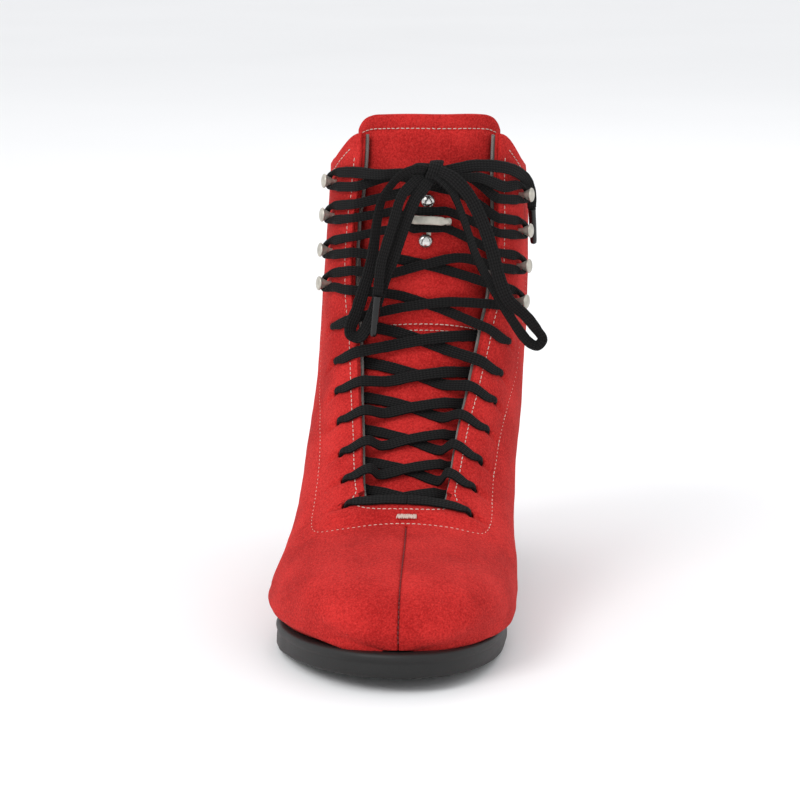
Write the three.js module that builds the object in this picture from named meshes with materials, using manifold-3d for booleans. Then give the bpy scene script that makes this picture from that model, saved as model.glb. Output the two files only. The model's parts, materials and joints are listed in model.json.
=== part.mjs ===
// A left high-top lace-up boot of red suede, laced and tied, on a black sole with a raised heel.
// Frame: millimetres, +Z up, toe towards -Y, the wearer's left (lateral) side towards +X.
// Every leather piece is a patch of one surface, the last, held at its own depth under or over it.
import * as THREE from 'three';
import { mergeVertices } from 'three/addons/utils/BufferGeometryUtils.js';
import Module from 'manifold-3d';

const wasm = await Module();
wasm.setup();

// ---------------------------------------------------------------- driving dimensions
const UPPER_LENGTH = 262;          // toe of the upper to the back of its heel
const UPPER_WIDTH = 101.8;         // across the ball of the foot
const UPPER_HEIGHT = 191;          // sole edge at the ball to the front corner of the collar
const SOLE_THICKNESS = 12;         // forepart sole, tread to the edge of the upper
const HEEL_LIFT = 5;               // top lift under the heel block
const HEEL_SEAT = 6;               // sole thickness over the heel block
const SUEDE = 1.8;
const STAY = 1.5;                  // lace stay laid over the upper
const BACKING = 1.3;
const LINING = 1.2;
const STIFFENER = 1.2;             // toe puff
const COUNTER = 2.2;
const COUNTER_GAP = 1.4;           // the counter is stiff, so it stands off the suede at the heel
const PADDING = 3.7;
const TONGUE = 4;
const BOARD = 2.3;
const BOARD_GAP = 1;               // the board is stiff, so it stands off the turned-in suede
const FOOTBED = 4;
const GAP = 0.3;                   // between pieces that meet
const LAYER_GAP = 0.7;             // between layers that lie on each other
const HOLE_RADIUS = 2.8;
const LACE_WIDTH = 5.6;
const LACE_THICKNESS = 1.5;
const AGLET_RADIUS = 1.7;
const AGLET_LENGTH = 18;
const HOOK_HEIGHT = 6.4;           // lace hook, from the stay to the top of its head
const HOOK_HEAD = 3.3;             // radius
const HOOK_NECK = 1.5;             // radius
const HOOK_FLANGE = 2.4;           // radius

// The pattern last that the driving dimensions grade.
const LAST_LENGTH = 262;
const LAST_WIDTH = 101.8;
const LAST_HEIGHT = 191;
const GRADE_Y = UPPER_LENGTH / LAST_LENGTH;
const GRADE_X = UPPER_WIDTH / LAST_WIDTH;
const GRADE_Z = UPPER_HEIGHT / LAST_HEIGHT;

// ---------------------------------------------------------------- small helpers
const rad = THREE.MathUtils.degToRad;
const lerp = THREE.MathUtils.lerp;
const clamp = THREE.MathUtils.clamp;
const V = (x, y, z) => new THREE.Vector3(x, y, z);
const span = (n, from, to) => Array.from({ length: n + 1 }, (_, i) => lerp(from, to, i / n));

// A smooth curve through evenly numbered values that never overshoots them.
function track(values) {
  const n = values.length - 1;
  const step = values.slice(1).map((v, i) => v - values[i]);
  const slope = values.map((_, i) => {
    if (i === 0) return step[0];
    if (i === n) return step[n - 1];
    const [a, b] = [step[i - 1], step[i]];
    return a * b <= 0 ? 0 : (2 * a * b) / (a + b);
  });
  return (t) => {
    const i = clamp(Math.floor(t), 0, n - 1);
    const s = t - i;
    const [s2, s3] = [s * s, s * s * s];
    return values[i] * (2 * s3 - 3 * s2 + 1) + slope[i] * (s3 - 2 * s2 + s)
      + values[i + 1] * (3 * s2 - 2 * s3) + slope[i + 1] * (s3 - s2);
  };
}

// ---------------------------------------------------------------- the last
// Girths of the last from the toe (0) to above the tongue (19). Each is a loop in a plane through the
// X direction: its front point, its sole or back point (y, z over the sole's edge at the ball), its
// middle in x, half widths on the medial and lateral side, where the widest point lies from front to
// back, and how square its front and back halves are. Lace rows 1 to 7 are girths 7 to 13, hooks 14 to 17.
const GIRTHS = [
  // front y, z     back y, z      mid   medial lateral widest front back
  [-130.0, 5.0,    -126.5, 4.4,   1.5,  6.0,  6.0,  0.50, 2.0, 2.0],
  [-131.3, 12.0,   -119.0, 3.6,   1.5,  20.0, 19.0, 0.55, 2.1, 2.4],
  [-127.5, 20.5,   -109.0, 2.8,   1.6,  31.0, 28.5, 0.60, 2.2, 2.9],
  [-117.5, 27.5,   -98.0,  2.0,   1.6,  39.5, 36.0, 0.64, 2.3, 3.4],
  [-101.0, 32.3,   -86.0,  1.2,   1.7,  47.0, 41.5, 0.66, 2.3, 3.8],
  [-81.0,  35.2,   -72.0,  0.6,   1.7,  53.0, 44.8, 0.66, 2.2, 4.0],
  [-61.0,  38.6,   -56.0,  0.2,   1.5,  55.6, 46.2, 0.65, 2.2, 4.0],
  [-47.0,  45.2,   -38.0,  0.6,   1.5,  53.6, 46.2, 0.62, 2.2, 4.0],
  [-35.8,  54.4,   -12.0,  5.0,   1.6,  50.8, 45.0, 0.58, 2.2, 4.0],
  [-25.0,  64.4,   16.0,   13.0,  1.8,  49.0, 44.2, 0.53, 2.2, 3.8],
  [-13.2,  75.6,   48.0,   24.0,  2.0,  48.0, 44.4, 0.47, 2.2, 3.6],
  [-4.0,   87.2,   84.0,   31.0,  2.4,  47.5, 45.0, 0.42, 2.2, 3.2],
  [2.4,    99.8,   123.0,  33.0,  3.0,  47.0, 45.5, 0.38, 2.2, 2.7],
  [5.0,    114.6,  131.0,  54.0,  3.8,  46.4, 45.7, 0.37, 2.2, 2.3],
  [5.6,    131.2,  129.0,  82.0,  4.6,  46.0, 46.0, 0.38, 2.2, 2.2],
  [7.0,    145.0,  124.0,  104.0, 5.2,  45.6, 45.7, 0.41, 2.2, 2.1],
  [8.4,    159.6,  119.5,  127.0, 5.8,  45.2, 45.2, 0.45, 2.2, 2.1],
  [9.2,    173.2,  117.0,  149.0, 6.2,  44.6, 44.6, 0.47, 2.2, 2.1],
  [10.4,   191.0,  117.0,  176.0, 6.2,  43.4, 43.4, 0.48, 2.2, 2.1],
  [11.0,   205.0,  118.0,  192.0, 6.2,  43.2, 43.2, 0.48, 2.2, 2.1],
];
const [frontY, frontZ, backY, backZ, midX, halfMedial, halfLateral, widest, frontPower, backPower] =
  GIRTHS[0].map((_, column) => track(GIRTHS.map((row) => row[column])));
// How far the front of the shaft is turned towards the lateral side.
const { smoothstep } = THREE.MathUtils;
const frontTurn = track(GIRTHS.map((_, i) => 1.2 * smoothstep(i, 9, 13) + 2.8 * smoothstep(i, 16, 19)));

const power = (value, exponent) => Math.pow(Math.max(value, 0), exponent);

// The point of the last at a girth and an angle round it: 0 at the front, +90 at the lateral side.
function lastPoint(girth, degrees) {
  const angle = rad(Math.abs(degrees));
  const side = Math.sign(degrees);
  const half = side < 0 ? halfMedial(girth) : halfLateral(girth);
  const [dy, dz] = [backY(girth) - frontY(girth), backZ(girth) - frontZ(girth)];
  const [c, s] = [Math.cos(angle), Math.sin(angle)];
  const isFront = c >= 0;
  const exponent = 2 / (isFront ? frontPower(girth) : backPower(girth));
  const share = isFront
    ? widest(girth) * (1 - power(c, exponent))
    : widest(girth) + (1 - widest(girth)) * power(-c, exponent);
  const x = midX(girth) + side * half * power(s, exponent) + frontTurn(girth) * (isFront ? c * c : 0);
  return V(x * GRADE_X, (frontY(girth) + dy * share) * GRADE_Y, (frontZ(girth) + dz * share) * GRADE_Z);
}

// Tangents up the girths and round the loop, and the outward normal, by small differences.
function lastFrame(girth, degrees) {
  const step = 0.04;
  const turn = 1.2;
  const up = lastPoint(girth + step, degrees).sub(lastPoint(girth - step, degrees)).normalize();
  const round = lastPoint(girth, degrees + turn).sub(lastPoint(girth, degrees - turn)).normalize();
  return { up, round, out: round.clone().cross(up).normalize() };
}

// A point standing off the last by a depth (outwards is positive).
function onLast(girth, degrees, depth) {
  return lastPoint(girth, degrees).addScaledVector(lastFrame(girth, degrees).out, depth);
}

// The angle at which a girth's front half reaches a distance sideways from its middle.
function angleAt(girth, sideways) {
  const half = sideways < 0 ? halfMedial(girth) : halfLateral(girth);
  const ratio = clamp(Math.abs(sideways) / half / GRADE_X, 0, 1);
  return Math.sign(sideways) * THREE.MathUtils.radToDeg(Math.asin(power(ratio, frontPower(girth) / 2)));
}

// ---------------------------------------------------------------- pattern lines on the last
const TOE = 0;
const THROAT = 6.95;               // girth of the bottom of the lace opening
const FIRST_ROW = 7;
const ROWS = 7;
const HOOKS = 4;
const COLLAR_FRONT = 18.1;
const COLLAR_SIDE = 17.68;
const COLLAR_BACK = 18;
const TONGUE_TOP = 18.95;
const LASTING = 152;               // angle at which the upper is turned under the foot
const SEAM = 0.15;                 // half the slit of the toe seam and the back seam

// Half width of the lace opening and of the columns of holes and hooks, from girth 7 up.
const openingHalf = track([14.5, 17.2, 18.6, 20.4, 22.9, 25, 27.3, 30.2, 31, 30.6, 29.5, 29.2, 29.2]);
const columnHalf = track([26, 27.4, 29.6, 31.8, 34.1, 35.7, 38.2, 39.6, 39.8, 39.6, 39.2, 39, 39]);
// How far the medial column of holes and hooks stands up from its row, and the lateral one down.
const columnTilt = track([0.08, 0.08, 0.06, 0.08, 0.1, 0.15, 0.16, 0.2, 0.2, 0.2, 0.15]);
const openingAngle = (girth) => angleAt(girth, openingHalf(girth - FIRST_ROW) * GRADE_X);
const columnAngle = (girth) => angleAt(girth, columnHalf(girth - FIRST_ROW) * GRADE_X);
const columnGirth = (row, side) => FIRST_ROW + row - side * columnTilt(row);

// The collar's edge: high at the lace opening, low at the sides, a little higher at the back.
function collar(degrees) {
  const c = Math.cos(rad(degrees));
  return lerp(COLLAR_SIDE, c > 0 ? COLLAR_FRONT : COLLAR_BACK, c * c);
}

// Stretches the girths above the third hook so that girth 18 follows a collar line.
const BEND = 16;
function toCollar(girth, degrees, below = 0) {
  if (girth <= BEND) return girth;
  return BEND + (girth - BEND) * (collar(degrees) - below - BEND) / (18 - BEND);
}

// Bottom or back edge of the upper: turned under the foot, then up the back seam.
function lowerEdge(girth) {
  const seam = 180 - THREE.MathUtils.radToDeg(SEAM / halfMedial(girth));
  return lerp(LASTING, seam, smoothstep(girth, 11.3, 12.4));
}

// Upper edge: the toe seam, then the lace opening.
function frontEdge(girth, side) {
  if (girth < THROAT) return angleAt(girth, side * SEAM);
  return side * openingAngle(girth);
}

// The girths at which every patch has a row of points, between two limits that are rows too.
const LAST_ROWS = [0, 0.4, 0.9, 1.5, 2.2, 3, 4, 5, 6, 6.5, THROAT - 0.01, THROAT, 8, 9, 10, 11, 12, 12.7, 13.5, 14.5,
  16, 18];
const NEAREST_ROW = 0.2;
function girths(from, to) {
  return [from, ...LAST_ROWS.filter((g) => g > from + NEAREST_ROW && g < to - NEAREST_ROW), to];
}

// ---------------------------------------------------------------- solids
// A closed solid from a grid of outer and inner points.
function shell(rows, columns, outer, inner) {
  const [nr, nc] = [rows.length, columns.length];
  const points = [];
  for (const place of [outer, inner]) {
    for (const r of rows) {
      for (const c of columns) points.push(place(r, c));
    }
  }
  const at = (layer, i, j) => layer * nr * nc + i * nc + j;
  const faces = [];
  const quad = (a, b, c, d) => faces.push(a, b, c, a, c, d);
  for (let i = 0; i < nr - 1; i += 1) {
    for (let j = 0; j < nc - 1; j += 1) {
      quad(at(0, i, j), at(0, i, j + 1), at(0, i + 1, j + 1), at(0, i + 1, j));
      quad(at(1, i, j), at(1, i + 1, j), at(1, i + 1, j + 1), at(1, i, j + 1));
    }
    quad(at(0, i, 0), at(0, i + 1, 0), at(1, i + 1, 0), at(1, i, 0));
    quad(at(0, i + 1, nc - 1), at(0, i, nc - 1), at(1, i, nc - 1), at(1, i + 1, nc - 1));
  }
  for (let j = 0; j < nc - 1; j += 1) {
    quad(at(0, 0, j + 1), at(0, 0, j), at(1, 0, j), at(1, 0, j + 1));
    quad(at(0, nr - 1, j), at(0, nr - 1, j + 1), at(1, nr - 1, j + 1), at(1, nr - 1, j));
  }
  return outward(solid(points, faces));
}

function solid(points, faces) {
  const geometry = new THREE.BufferGeometry();
  geometry.setAttribute('position', new THREE.Float32BufferAttribute(points.flatMap((p) => p.toArray()), 3));
  geometry.setIndex(faces);
  return geometry;
}

// The same faces, all turned round if they point inwards.
function outward(geometry) {
  const p = geometry.getAttribute('position');
  const index = geometry.index.array;
  const corner = (i) => V().fromBufferAttribute(p, index[i]);
  let volume = 0;
  for (let i = 0; i < index.length; i += 3) volume += corner(i).dot(corner(i + 1).cross(corner(i + 2)));
  if (volume < 0) {
    for (let i = 0; i < index.length; i += 3) [index[i + 1], index[i + 2]] = [index[i + 2], index[i + 1]];
  }
  return geometry;
}

function toManifold(geometry) {
  const bare = geometry.clone();
  bare.deleteAttribute('normal');
  bare.deleteAttribute('uv');
  const merged = mergeVertices(bare, 1e-4);
  return new wasm.Manifold(new wasm.Mesh({
    numProp: 3,
    vertProperties: new Float32Array(merged.attributes.position.array),
    triVerts: new Uint32Array(merged.index.array),
  }));
}

function fromManifold(manifold) {
  const mesh = manifold.getMesh();
  const geometry = new THREE.BufferGeometry();
  geometry.setAttribute('position', new THREE.BufferAttribute(new Float32Array(mesh.vertProperties), 3));
  geometry.setIndex(Array.from(mesh.triVerts));
  return geometry;
}

function cut(geometry, tools) {
  return fromManifold(tools.reduce((body, tool) => body.subtract(toManifold(tool)), toManifold(geometry)));
}

function join(geometries) {
  return fromManifold(geometries.slice(1).reduce((body, g) => body.add(toManifold(g)), toManifold(geometries[0])));
}

// A patch of the last between two depths. `at` gives the girth and angle of a place on the patch.
function patch(rows, columns, at, outerDepth, thickness) {
  const depth = typeof outerDepth === 'function' ? outerDepth : () => outerDepth;
  return shell(rows, columns,
    (r, c) => onLast(...at(r, c), depth(r, c)),
    (r, c) => onLast(...at(r, c), depth(r, c) - thickness));
}

// Turns a geometry made along +Y so that it stands on the last at a girth and angle.
function stand(geometry, girth, degrees, depth) {
  const { up, out } = lastFrame(girth, degrees);
  const across = up.clone().cross(out).normalize();
  const matrix = new THREE.Matrix4().makeBasis(across, out, across.clone().cross(out));
  return geometry.applyMatrix4(matrix.setPosition(onLast(girth, degrees, depth)));
}

// A straight-sided plug through all the leather at a lace hole.
function holeCutter(row, side) {
  const girth = columnGirth(row, side);
  const cutter = new THREE.CylinderGeometry(HOLE_RADIUS, HOLE_RADIUS, 12, 7);
  return stand(cutter, girth, angleAt(girth, side * columnHalf(row) * GRADE_X), -1);
}

const holeCutters = (side) => span(ROWS - 1, 0, ROWS - 1).map((row) => holeCutter(row, side));

// ---------------------------------------------------------------- the scene
const SUEDE_RED = { color: 0xc33735, roughness: 0.95, metalness: 0 };
const LINING_GREY = { color: 0x8c8782, roughness: 0.9, metalness: 0 };
const SOLE_BLACK = { color: 0x1b1b1c, roughness: 0.5, metalness: 0 };
const BOARD_TAN = { color: 0xb08a5c, roughness: 0.8, metalness: 0 };
const LACE_BLACK = { color: 0x141415, roughness: 0.85, metalness: 0 };
const NICKEL = { color: 0xb9b4a6, roughness: 0.35, metalness: 1 };
const STEEL = { color: 0x9da0a3, roughness: 0.4, metalness: 1 };
const FOAM_WHITE = { color: 0xdedad0, roughness: 1, metalness: 0 };
const AGLET_BLACK = { color: 0x0d0d0e, roughness: 0.2, metalness: 0 };

const boot = new THREE.Group();
const aboveGround = new THREE.Group();
aboveGround.position.z = SOLE_THICKNESS;
boot.add(aboveGround);

function add(name, geometry, finish) {
  const mesh = new THREE.Mesh(geometry, new THREE.MeshStandardMaterial(finish));
  mesh.name = name;
  aboveGround.add(mesh);
}

const SIDES = { medial: -1, lateral: 1 };

// ---------------------------------------------------------------- upper
const around = span(12, 0, 1);

function upperHalf(side) {
  const at = (girth, share) => {
    const degrees = lerp(frontEdge(girth, side), side * lowerEdge(girth), share);
    return [toCollar(girth, degrees), degrees];
  };
  return cut(patch(girths(TOE, 18), around, at, 0, SUEDE), holeCutters(side));
}

// The lace stay: a U laid over both halves, its inner edge the lace opening. Numbered from the middle
// of the bottom (0) up one leg; each place gives the inner edge's and the outer edge's girth and angle.
const stayInnerGirth = track([6.9, 6.91, 6.98, 7.15, 7.5, 8, 9, 10, 11, 12, 13, 14, 15, 16, 18]);
const stayOuterGirth = track([6.12, 6.12, 6.14, 6.25, 6.6, 7.3, 8.7, 9.9, 11, 12, 13, 14, 15, 16, 18]);
const stayOuterAngle = track([0, 15, 29, 42, 49.5, 51.5, 54, 58, 64, 70, 75, 79, 82, 83, 84]);
const STAY_PLACES = 14;
const stayInnerAngle = track([0, 8, 14.5, 19, 21.5]);

function stayPlace(place, share) {
  const side = Math.sign(place);
  const p = Math.abs(place);
  const girthIn = stayInnerGirth(p);
  const angleIn = p < 4 ? stayInnerAngle(p) : openingAngle(girthIn);
  const degrees = lerp(angleIn, stayOuterAngle(p), share);
  const girth = lerp(girthIn, stayOuterGirth(p), share);
  return [toCollar(girth, degrees), side * degrees];
}

function laceStay() {
  const places = span(2 * STAY_PLACES, -STAY_PLACES, STAY_PLACES);
  const blank = patch(places, span(4, 0, 1), stayPlace, STAY + LAYER_GAP, STAY);
  return cut(blank, [...holeCutters(-1), ...holeCutters(1)]);
}

const BACKING_DEPTH = -SUEDE - LAYER_GAP;
// Middle of a lace under the facing.
const LACE_DEPTH = BACKING_DEPTH - BACKING - LAYER_GAP - LACE_THICKNESS / 2;
const TONGUE_CLEARANCE = 1.2;      // under the laces, which cut the corners of the bent tongue
const TONGUE_DEPTH = LACE_DEPTH - LACE_THICKNESS / 2 - TONGUE_CLEARANCE;
const BACKING_REACH = 9;           // angle past the holes that the backing covers

function facingBacking(side) {
  const at = (girth, share) => {
    const degrees = lerp(openingAngle(girth), columnAngle(girth) + BACKING_REACH, share);
    return [toCollar(girth, degrees, 0.05), side * degrees];
  };
  return cut(patch(girths(THROAT + 0.05, 18), span(4, 0, 1), at, BACKING_DEPTH, BACKING), holeCutters(side));
}

function backstay() {
  const halfAngle = track([20, 13, 10, 9.5, 9.5, 9.5, 11]);
  const at = (girth, share) => {
    const degrees = 180 + halfAngle(girth - 12) * share;
    return [toCollar(girth, 180), degrees > 180 ? degrees - 360 : degrees];
  };
  return patch(girths(12.2, 18), [-1, -0.33, 0.33, 1], at, STAY + LAYER_GAP, STAY);
}

for (const [name, side] of Object.entries(SIDES)) {
  add(`upper_${name}`, upperHalf(side), SUEDE_RED);
  add(`facing_backing_${name}`, facingBacking(side), LINING_GREY);
}
add('lace_stay', laceStay(), SUEDE_RED);
add('backstay', backstay(), SUEDE_RED);

// ---------------------------------------------------------------- linings, stiffeners and padding
const FEATHER = 118;               // angle where linings and stiffeners stop above the board
const VAMP_LINING_DEPTH = -SUEDE - STIFFENER - 2 * LAYER_GAP;
const QUARTER_LINING_DEPTH = -SUEDE - PADDING - 2.2 * LAYER_GAP;

add('toe_puff', patch(girths(0.9, 4), span(12, -FEATHER, FEATHER), (g, a) => [g, a],
  -SUEDE - LAYER_GAP, STIFFENER), BOARD_TAN);
add('vamp_lining', patch(girths(0.9, 6.6), span(12, -FEATHER, FEATHER), (g, a) => [g, a],
  VAMP_LINING_DEPTH, LINING), LINING_GREY);
add('heel_counter', patch(girths(12, 14.2), span(12, 100, 260),
  (g, a) => [g, a > 180 ? a - 360 : a], -SUEDE - COUNTER_GAP, COUNTER), BOARD_TAN);

for (const [name, side] of Object.entries(SIDES)) {
  const from = (girth) => columnAngle(girth) + BACKING_REACH + 3;
  add(`collar_padding_${name}`, patch(girths(14.5, 18), span(7, 0, 1),
    (g, share) => {
      const degrees = lerp(from(g), 178, share);
      return [toCollar(g, degrees, 0.12), side * degrees];
    }, -SUEDE - LAYER_GAP, PADDING), FOAM_WHITE);
  add(`quarter_lining_${name}`, patch(girths(7.3, 18), span(7, 0, 1),
    (g, share) => {
      const bottom = lerp(FEATHER, 179, smoothstep(g, 12, 12.9));
      const degrees = lerp(from(g), bottom, share);
      return [toCollar(g, degrees, 0.04), side * degrees];
    }, QUARTER_LINING_DEPTH, LINING), LINING_GREY);
}

// ---------------------------------------------------------------- tongue
const TONGUE_ROOT = 6.3;
const tongueAngle = (girth) => openingAngle(Math.max(girth, FIRST_ROW)) + lerp(7, 4, (girth - 6) / 13);
const tongueSink = track([0.6, 0]);
const tongueDepth = (girth) => TONGUE_DEPTH + tongueSink(clamp(girth - TONGUE_ROOT, 0, 1));

// The top corners of the tongue are rounded off by letting the outer columns stop lower.
const tonguePlace = (top) => (girth, share) => {
  const corner = Math.max(Math.abs(share) - 0.55, 0) / 0.45;
  const drop = (1 - Math.sqrt(1 - corner * corner * 0.96)) * 0.75 * smoothstep(girth, 17, top);
  return [girth - drop, share * tongueAngle(girth)];
};
const tongueColumns = [-1, -0.85, -0.55, 0, 0.55, 0.85, 1];
add('tongue', patch([...girths(TONGUE_ROOT, 17), 18, TONGUE_TOP], tongueColumns,
  tonguePlace(TONGUE_TOP), (girth) => tongueDepth(girth), TONGUE), SUEDE_RED);
add('tongue_lining', patch([...girths(TONGUE_ROOT + 0.4, 17), 18, TONGUE_TOP - 0.1],
  [-0.95, -0.55, 0, 0.55, 0.95], tonguePlace(TONGUE_TOP),
  (girth) => tongueDepth(girth) - TONGUE - LAYER_GAP, LINING), LINING_GREY);

// ---------------------------------------------------------------- inside the foot
const boardRows = girths(0.9, 11.8);
const under = (half) => (girth, share) => {
  const degrees = 180 + half * share;
  return [girth, degrees > 180 ? degrees - 360 : degrees];
};
const across = span(6, -1, 1);
add('insole_board', patch(boardRows, across, under(50), -SUEDE - BOARD_GAP, BOARD), BOARD_TAN);
add('footbed', patch(boardRows, across, under(42), -SUEDE - BOARD_GAP - BOARD - LAYER_GAP, FOOTBED), LINING_GREY);
add('shank', patch(girths(8, 10.4), [-1, 1], under(8), -0.5, 0.9), STEEL);

// ---------------------------------------------------------------- sole
// The sole is drawn in plan: its top follows the underside of the last and its edge stands out past it.
const SOLE_STATIONS = 20;
const soleGirth = track([0, 0.45, 1.2, 2.2, 3.2, 4.2, 5.1, 6, 6.8, 7.5, 8.1, 8.7, 9.3, 9.9, 10.4, 10.9, 11.3, 11.6,
  11.85, 12, 12]);
const soleMedial = track([7, 13, 21.5, 31, 39.5, 46, 50.8, 52.8, 50.5, 46.5, 42, 37.5, 34, 32.3, 31.8, 32, 32, 31, 28,
  21.5, 10]);
const soleLateral = track([7, 12.5, 20, 28.5, 36, 41, 43.4, 44.4, 44, 42.8, 41, 39, 37, 35.5, 34.6, 34, 33.5, 32, 28.5,
  21.5, 10]);
const soleY = track([-133.6, -132.2, -127.5, -118.5, -106, -92, -77.5, -62, -47, -32, -17, -2, 13, 29, 45, 61, 77, 93,
  108, 122, 131]);
const soleTop = track([4.7, 4.6, 4.2, 3.4, 2.4, 1.5, 0.8, 0.3, 0.2, 0.9, 3.4, 7.2, 11.8, 17, 22.4, 27, 30, 31.7, 32.4,
  32.6, 32.6]);
const SOLE_SPRING = 5.2;           // how far the toe of the tread lifts
const TREAD_BACK = 8;              // station where the tread leaves the ground
const CORNER = 2.6;                // radius of the rounded top edge

function soleBottom(station) {
  const spring = SOLE_SPRING * Math.pow(clamp((4 - station) / 4, 0, 1), 2);
  const waist = smoothstep(station, TREAD_BACK, 16);
  const lifted = soleTop(station) * GRADE_Z - lerp(SOLE_THICKNESS, HEEL_SEAT, waist);
  return station <= TREAD_BACK ? -SOLE_THICKNESS + spring : Math.max(lifted, -SOLE_THICKNESS);
}

// The outline of the sole at a station: across the top from the medial to the lateral edge and back below.
function soleOutline(station) {
  const y = soleY(station) * GRADE_Y;
  const top = soleTop(station) * GRADE_Z - GAP;
  const bottom = soleBottom(station);
  const left = (midX(soleGirth(station)) - soleMedial(station)) * GRADE_X;
  const right = (midX(soleGirth(station)) + soleLateral(station)) * GRADE_X;
  const round = Math.min(CORNER, (top - bottom) / 3);
  return [
    [left, bottom], [left, top - round], [left + round * 0.3, top - round * 0.3], [left + round, top],
    [right - round, top], [right - round * 0.3, top - round * 0.3], [right, top - round], [right, bottom],
  ].map(([x, z]) => V(x, y, z));
}

// A solid through a row of closed outlines, capped at both ends.
function loft(outlines) {
  const n = outlines[0].length;
  const faces = [];
  for (let i = 0; i < outlines.length - 1; i += 1) {
    for (let j = 0; j < n; j += 1) {
      const [a, b] = [i * n + j, i * n + (j + 1) % n];
      faces.push(a, b, b + n, a, b + n, a + n);
    }
  }
  const last = (outlines.length - 1) * n;
  for (let j = 1; j < n - 1; j += 1) {
    faces.push(0, j + 1, j);
    faces.push(last, last + j, last + j + 1);
  }
  return outward(solid(outlines.flat(), faces));
}

const soleStations = span(SOLE_STATIONS, 0, SOLE_STATIONS);
add('outsole', loft(soleStations.map(soleOutline)), SOLE_BLACK);

// The heel block and its top lift stand on the ground under the back of the sole.
const heelFirst = 15.2;
const heelStations = [heelFirst, 16, 17, 18, 19, SOLE_STATIONS];
function heelSlice(station, top, bottom, taperTop, taperBottom) {
  const middle = midX(soleGirth(station));
  const y = soleY(station) * GRADE_Y;
  const edge = (half, side, taper) => (middle + side * (half - taper)) * GRADE_X;
  return [
    V(edge(soleMedial(station), -1, taperTop), y, top), V(edge(soleMedial(station), -1, taperBottom), y, bottom),
    V(edge(soleLateral(station), 1, taperBottom), y, bottom), V(edge(soleLateral(station), 1, taperTop), y, top),
  ];
}
const liftTop = -SOLE_THICKNESS + HEEL_LIFT;
const HEEL_INSET = 0.8;            // of the heel block under the sole
const HEEL_TAPER = 2.4;            // at the bottom of the block
const LIFT_TAPER = 2.8;            // at the tread of the top lift
const heelBlock = (s) => heelSlice(s, soleBottom(s) - GAP, liftTop + GAP, HEEL_INSET, HEEL_TAPER);
const topLift = (s) => heelSlice(s, liftTop, -SOLE_THICKNESS, HEEL_TAPER, LIFT_TAPER);
add('heel_block', loft(heelStations.map(heelBlock)), SOLE_BLACK);
add('heel_top_lift', loft(heelStations.map(topLift)), SOLE_BLACK);

// ---------------------------------------------------------------- lace hooks and lace keeper
function laceHook() {
  const profile = [
    [0, 0], [HOOK_FLANGE, 0], [HOOK_FLANGE, 0.6], [HOOK_NECK, 1.1], [HOOK_NECK * 1.15, 2.4],
    [HOOK_HEAD, HOOK_HEIGHT - 1.6], [HOOK_HEAD, HOOK_HEIGHT - 0.9], [HOOK_HEAD * 0.6, HOOK_HEIGHT - 0.2],
    [0, HOOK_HEIGHT],
  ];
  return new THREE.LatheGeometry(profile.map(([r, h]) => new THREE.Vector2(r, h)), 8);
}

const STAY_TOP = STAY + LAYER_GAP;
for (const [name, side] of Object.entries(SIDES)) {
  for (let i = 0; i < HOOKS; i += 1) {
    const girth = columnGirth(ROWS + i, side);
    add(`lace_hook_${name}_${i + 1}`, stand(laceHook(), girth, side * columnAngle(girth), STAY_TOP + GAP), NICKEL);
  }
}

const KEEPER_GIRTH = 15.92;
const KEEPER_WIDTH = 18;
const KEEPER_BAR = 3.2;
const KEEPER_LEG = 1.1;
const KEEPER_PLATE = 0.6;
const KEEPER_RIVET = 2.8;          // radius of the rivet heads
const RIVET_SPREAD = 8.6;          // rivets above and below the bar
const keeperSurface = TONGUE_DEPTH + GAP;

function place(geometry, x, along, height) {
  return geometry.translate(x, height, along);
}

function laceKeeper() {
  const strap = place(new THREE.BoxGeometry(4.4, KEEPER_PLATE, 2 * RIVET_SPREAD + 4), 0, 0, KEEPER_PLATE / 2);
  const foot = place(new THREE.BoxGeometry(KEEPER_WIDTH, KEEPER_PLATE, 1.6), 0, 0, KEEPER_PLATE / 2);
  const height = LACE_THICKNESS * 2 + 3.5;
  const bar = place(new THREE.BoxGeometry(KEEPER_WIDTH, 1.4, KEEPER_BAR), 0, 0, height);
  const leg = (x) => place(new THREE.BoxGeometry(KEEPER_LEG, height, KEEPER_LEG), x, 0, height / 2);
  const ball = place(new THREE.SphereGeometry(2.1, 8, 5), KEEPER_WIDTH / 2, 0, height);
  return join([strap, foot, bar, leg(-KEEPER_WIDTH / 2 + 0.8), leg(KEEPER_WIDTH / 2 - 0.8), ball]);
}

add('lace_keeper', stand(laceKeeper(), KEEPER_GIRTH, 0, keeperSurface), NICKEL);
for (const [name, sign] of [['upper', 1], ['lower', -1]]) {
  const head = [[0, 0], [KEEPER_RIVET, 0], [KEEPER_RIVET, 0.5], [KEEPER_RIVET * 0.7, 1.5], [0, 2]];
  const rivet = new THREE.LatheGeometry(head.map(([r, h]) => new THREE.Vector2(r, h)), 10);
  place(rivet, 0, -sign * RIVET_SPREAD, KEEPER_PLATE + GAP);
  add(`keeper_rivet_${name}`, stand(rivet, KEEPER_GIRTH, 0, keeperSurface), NICKEL);
}

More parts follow.
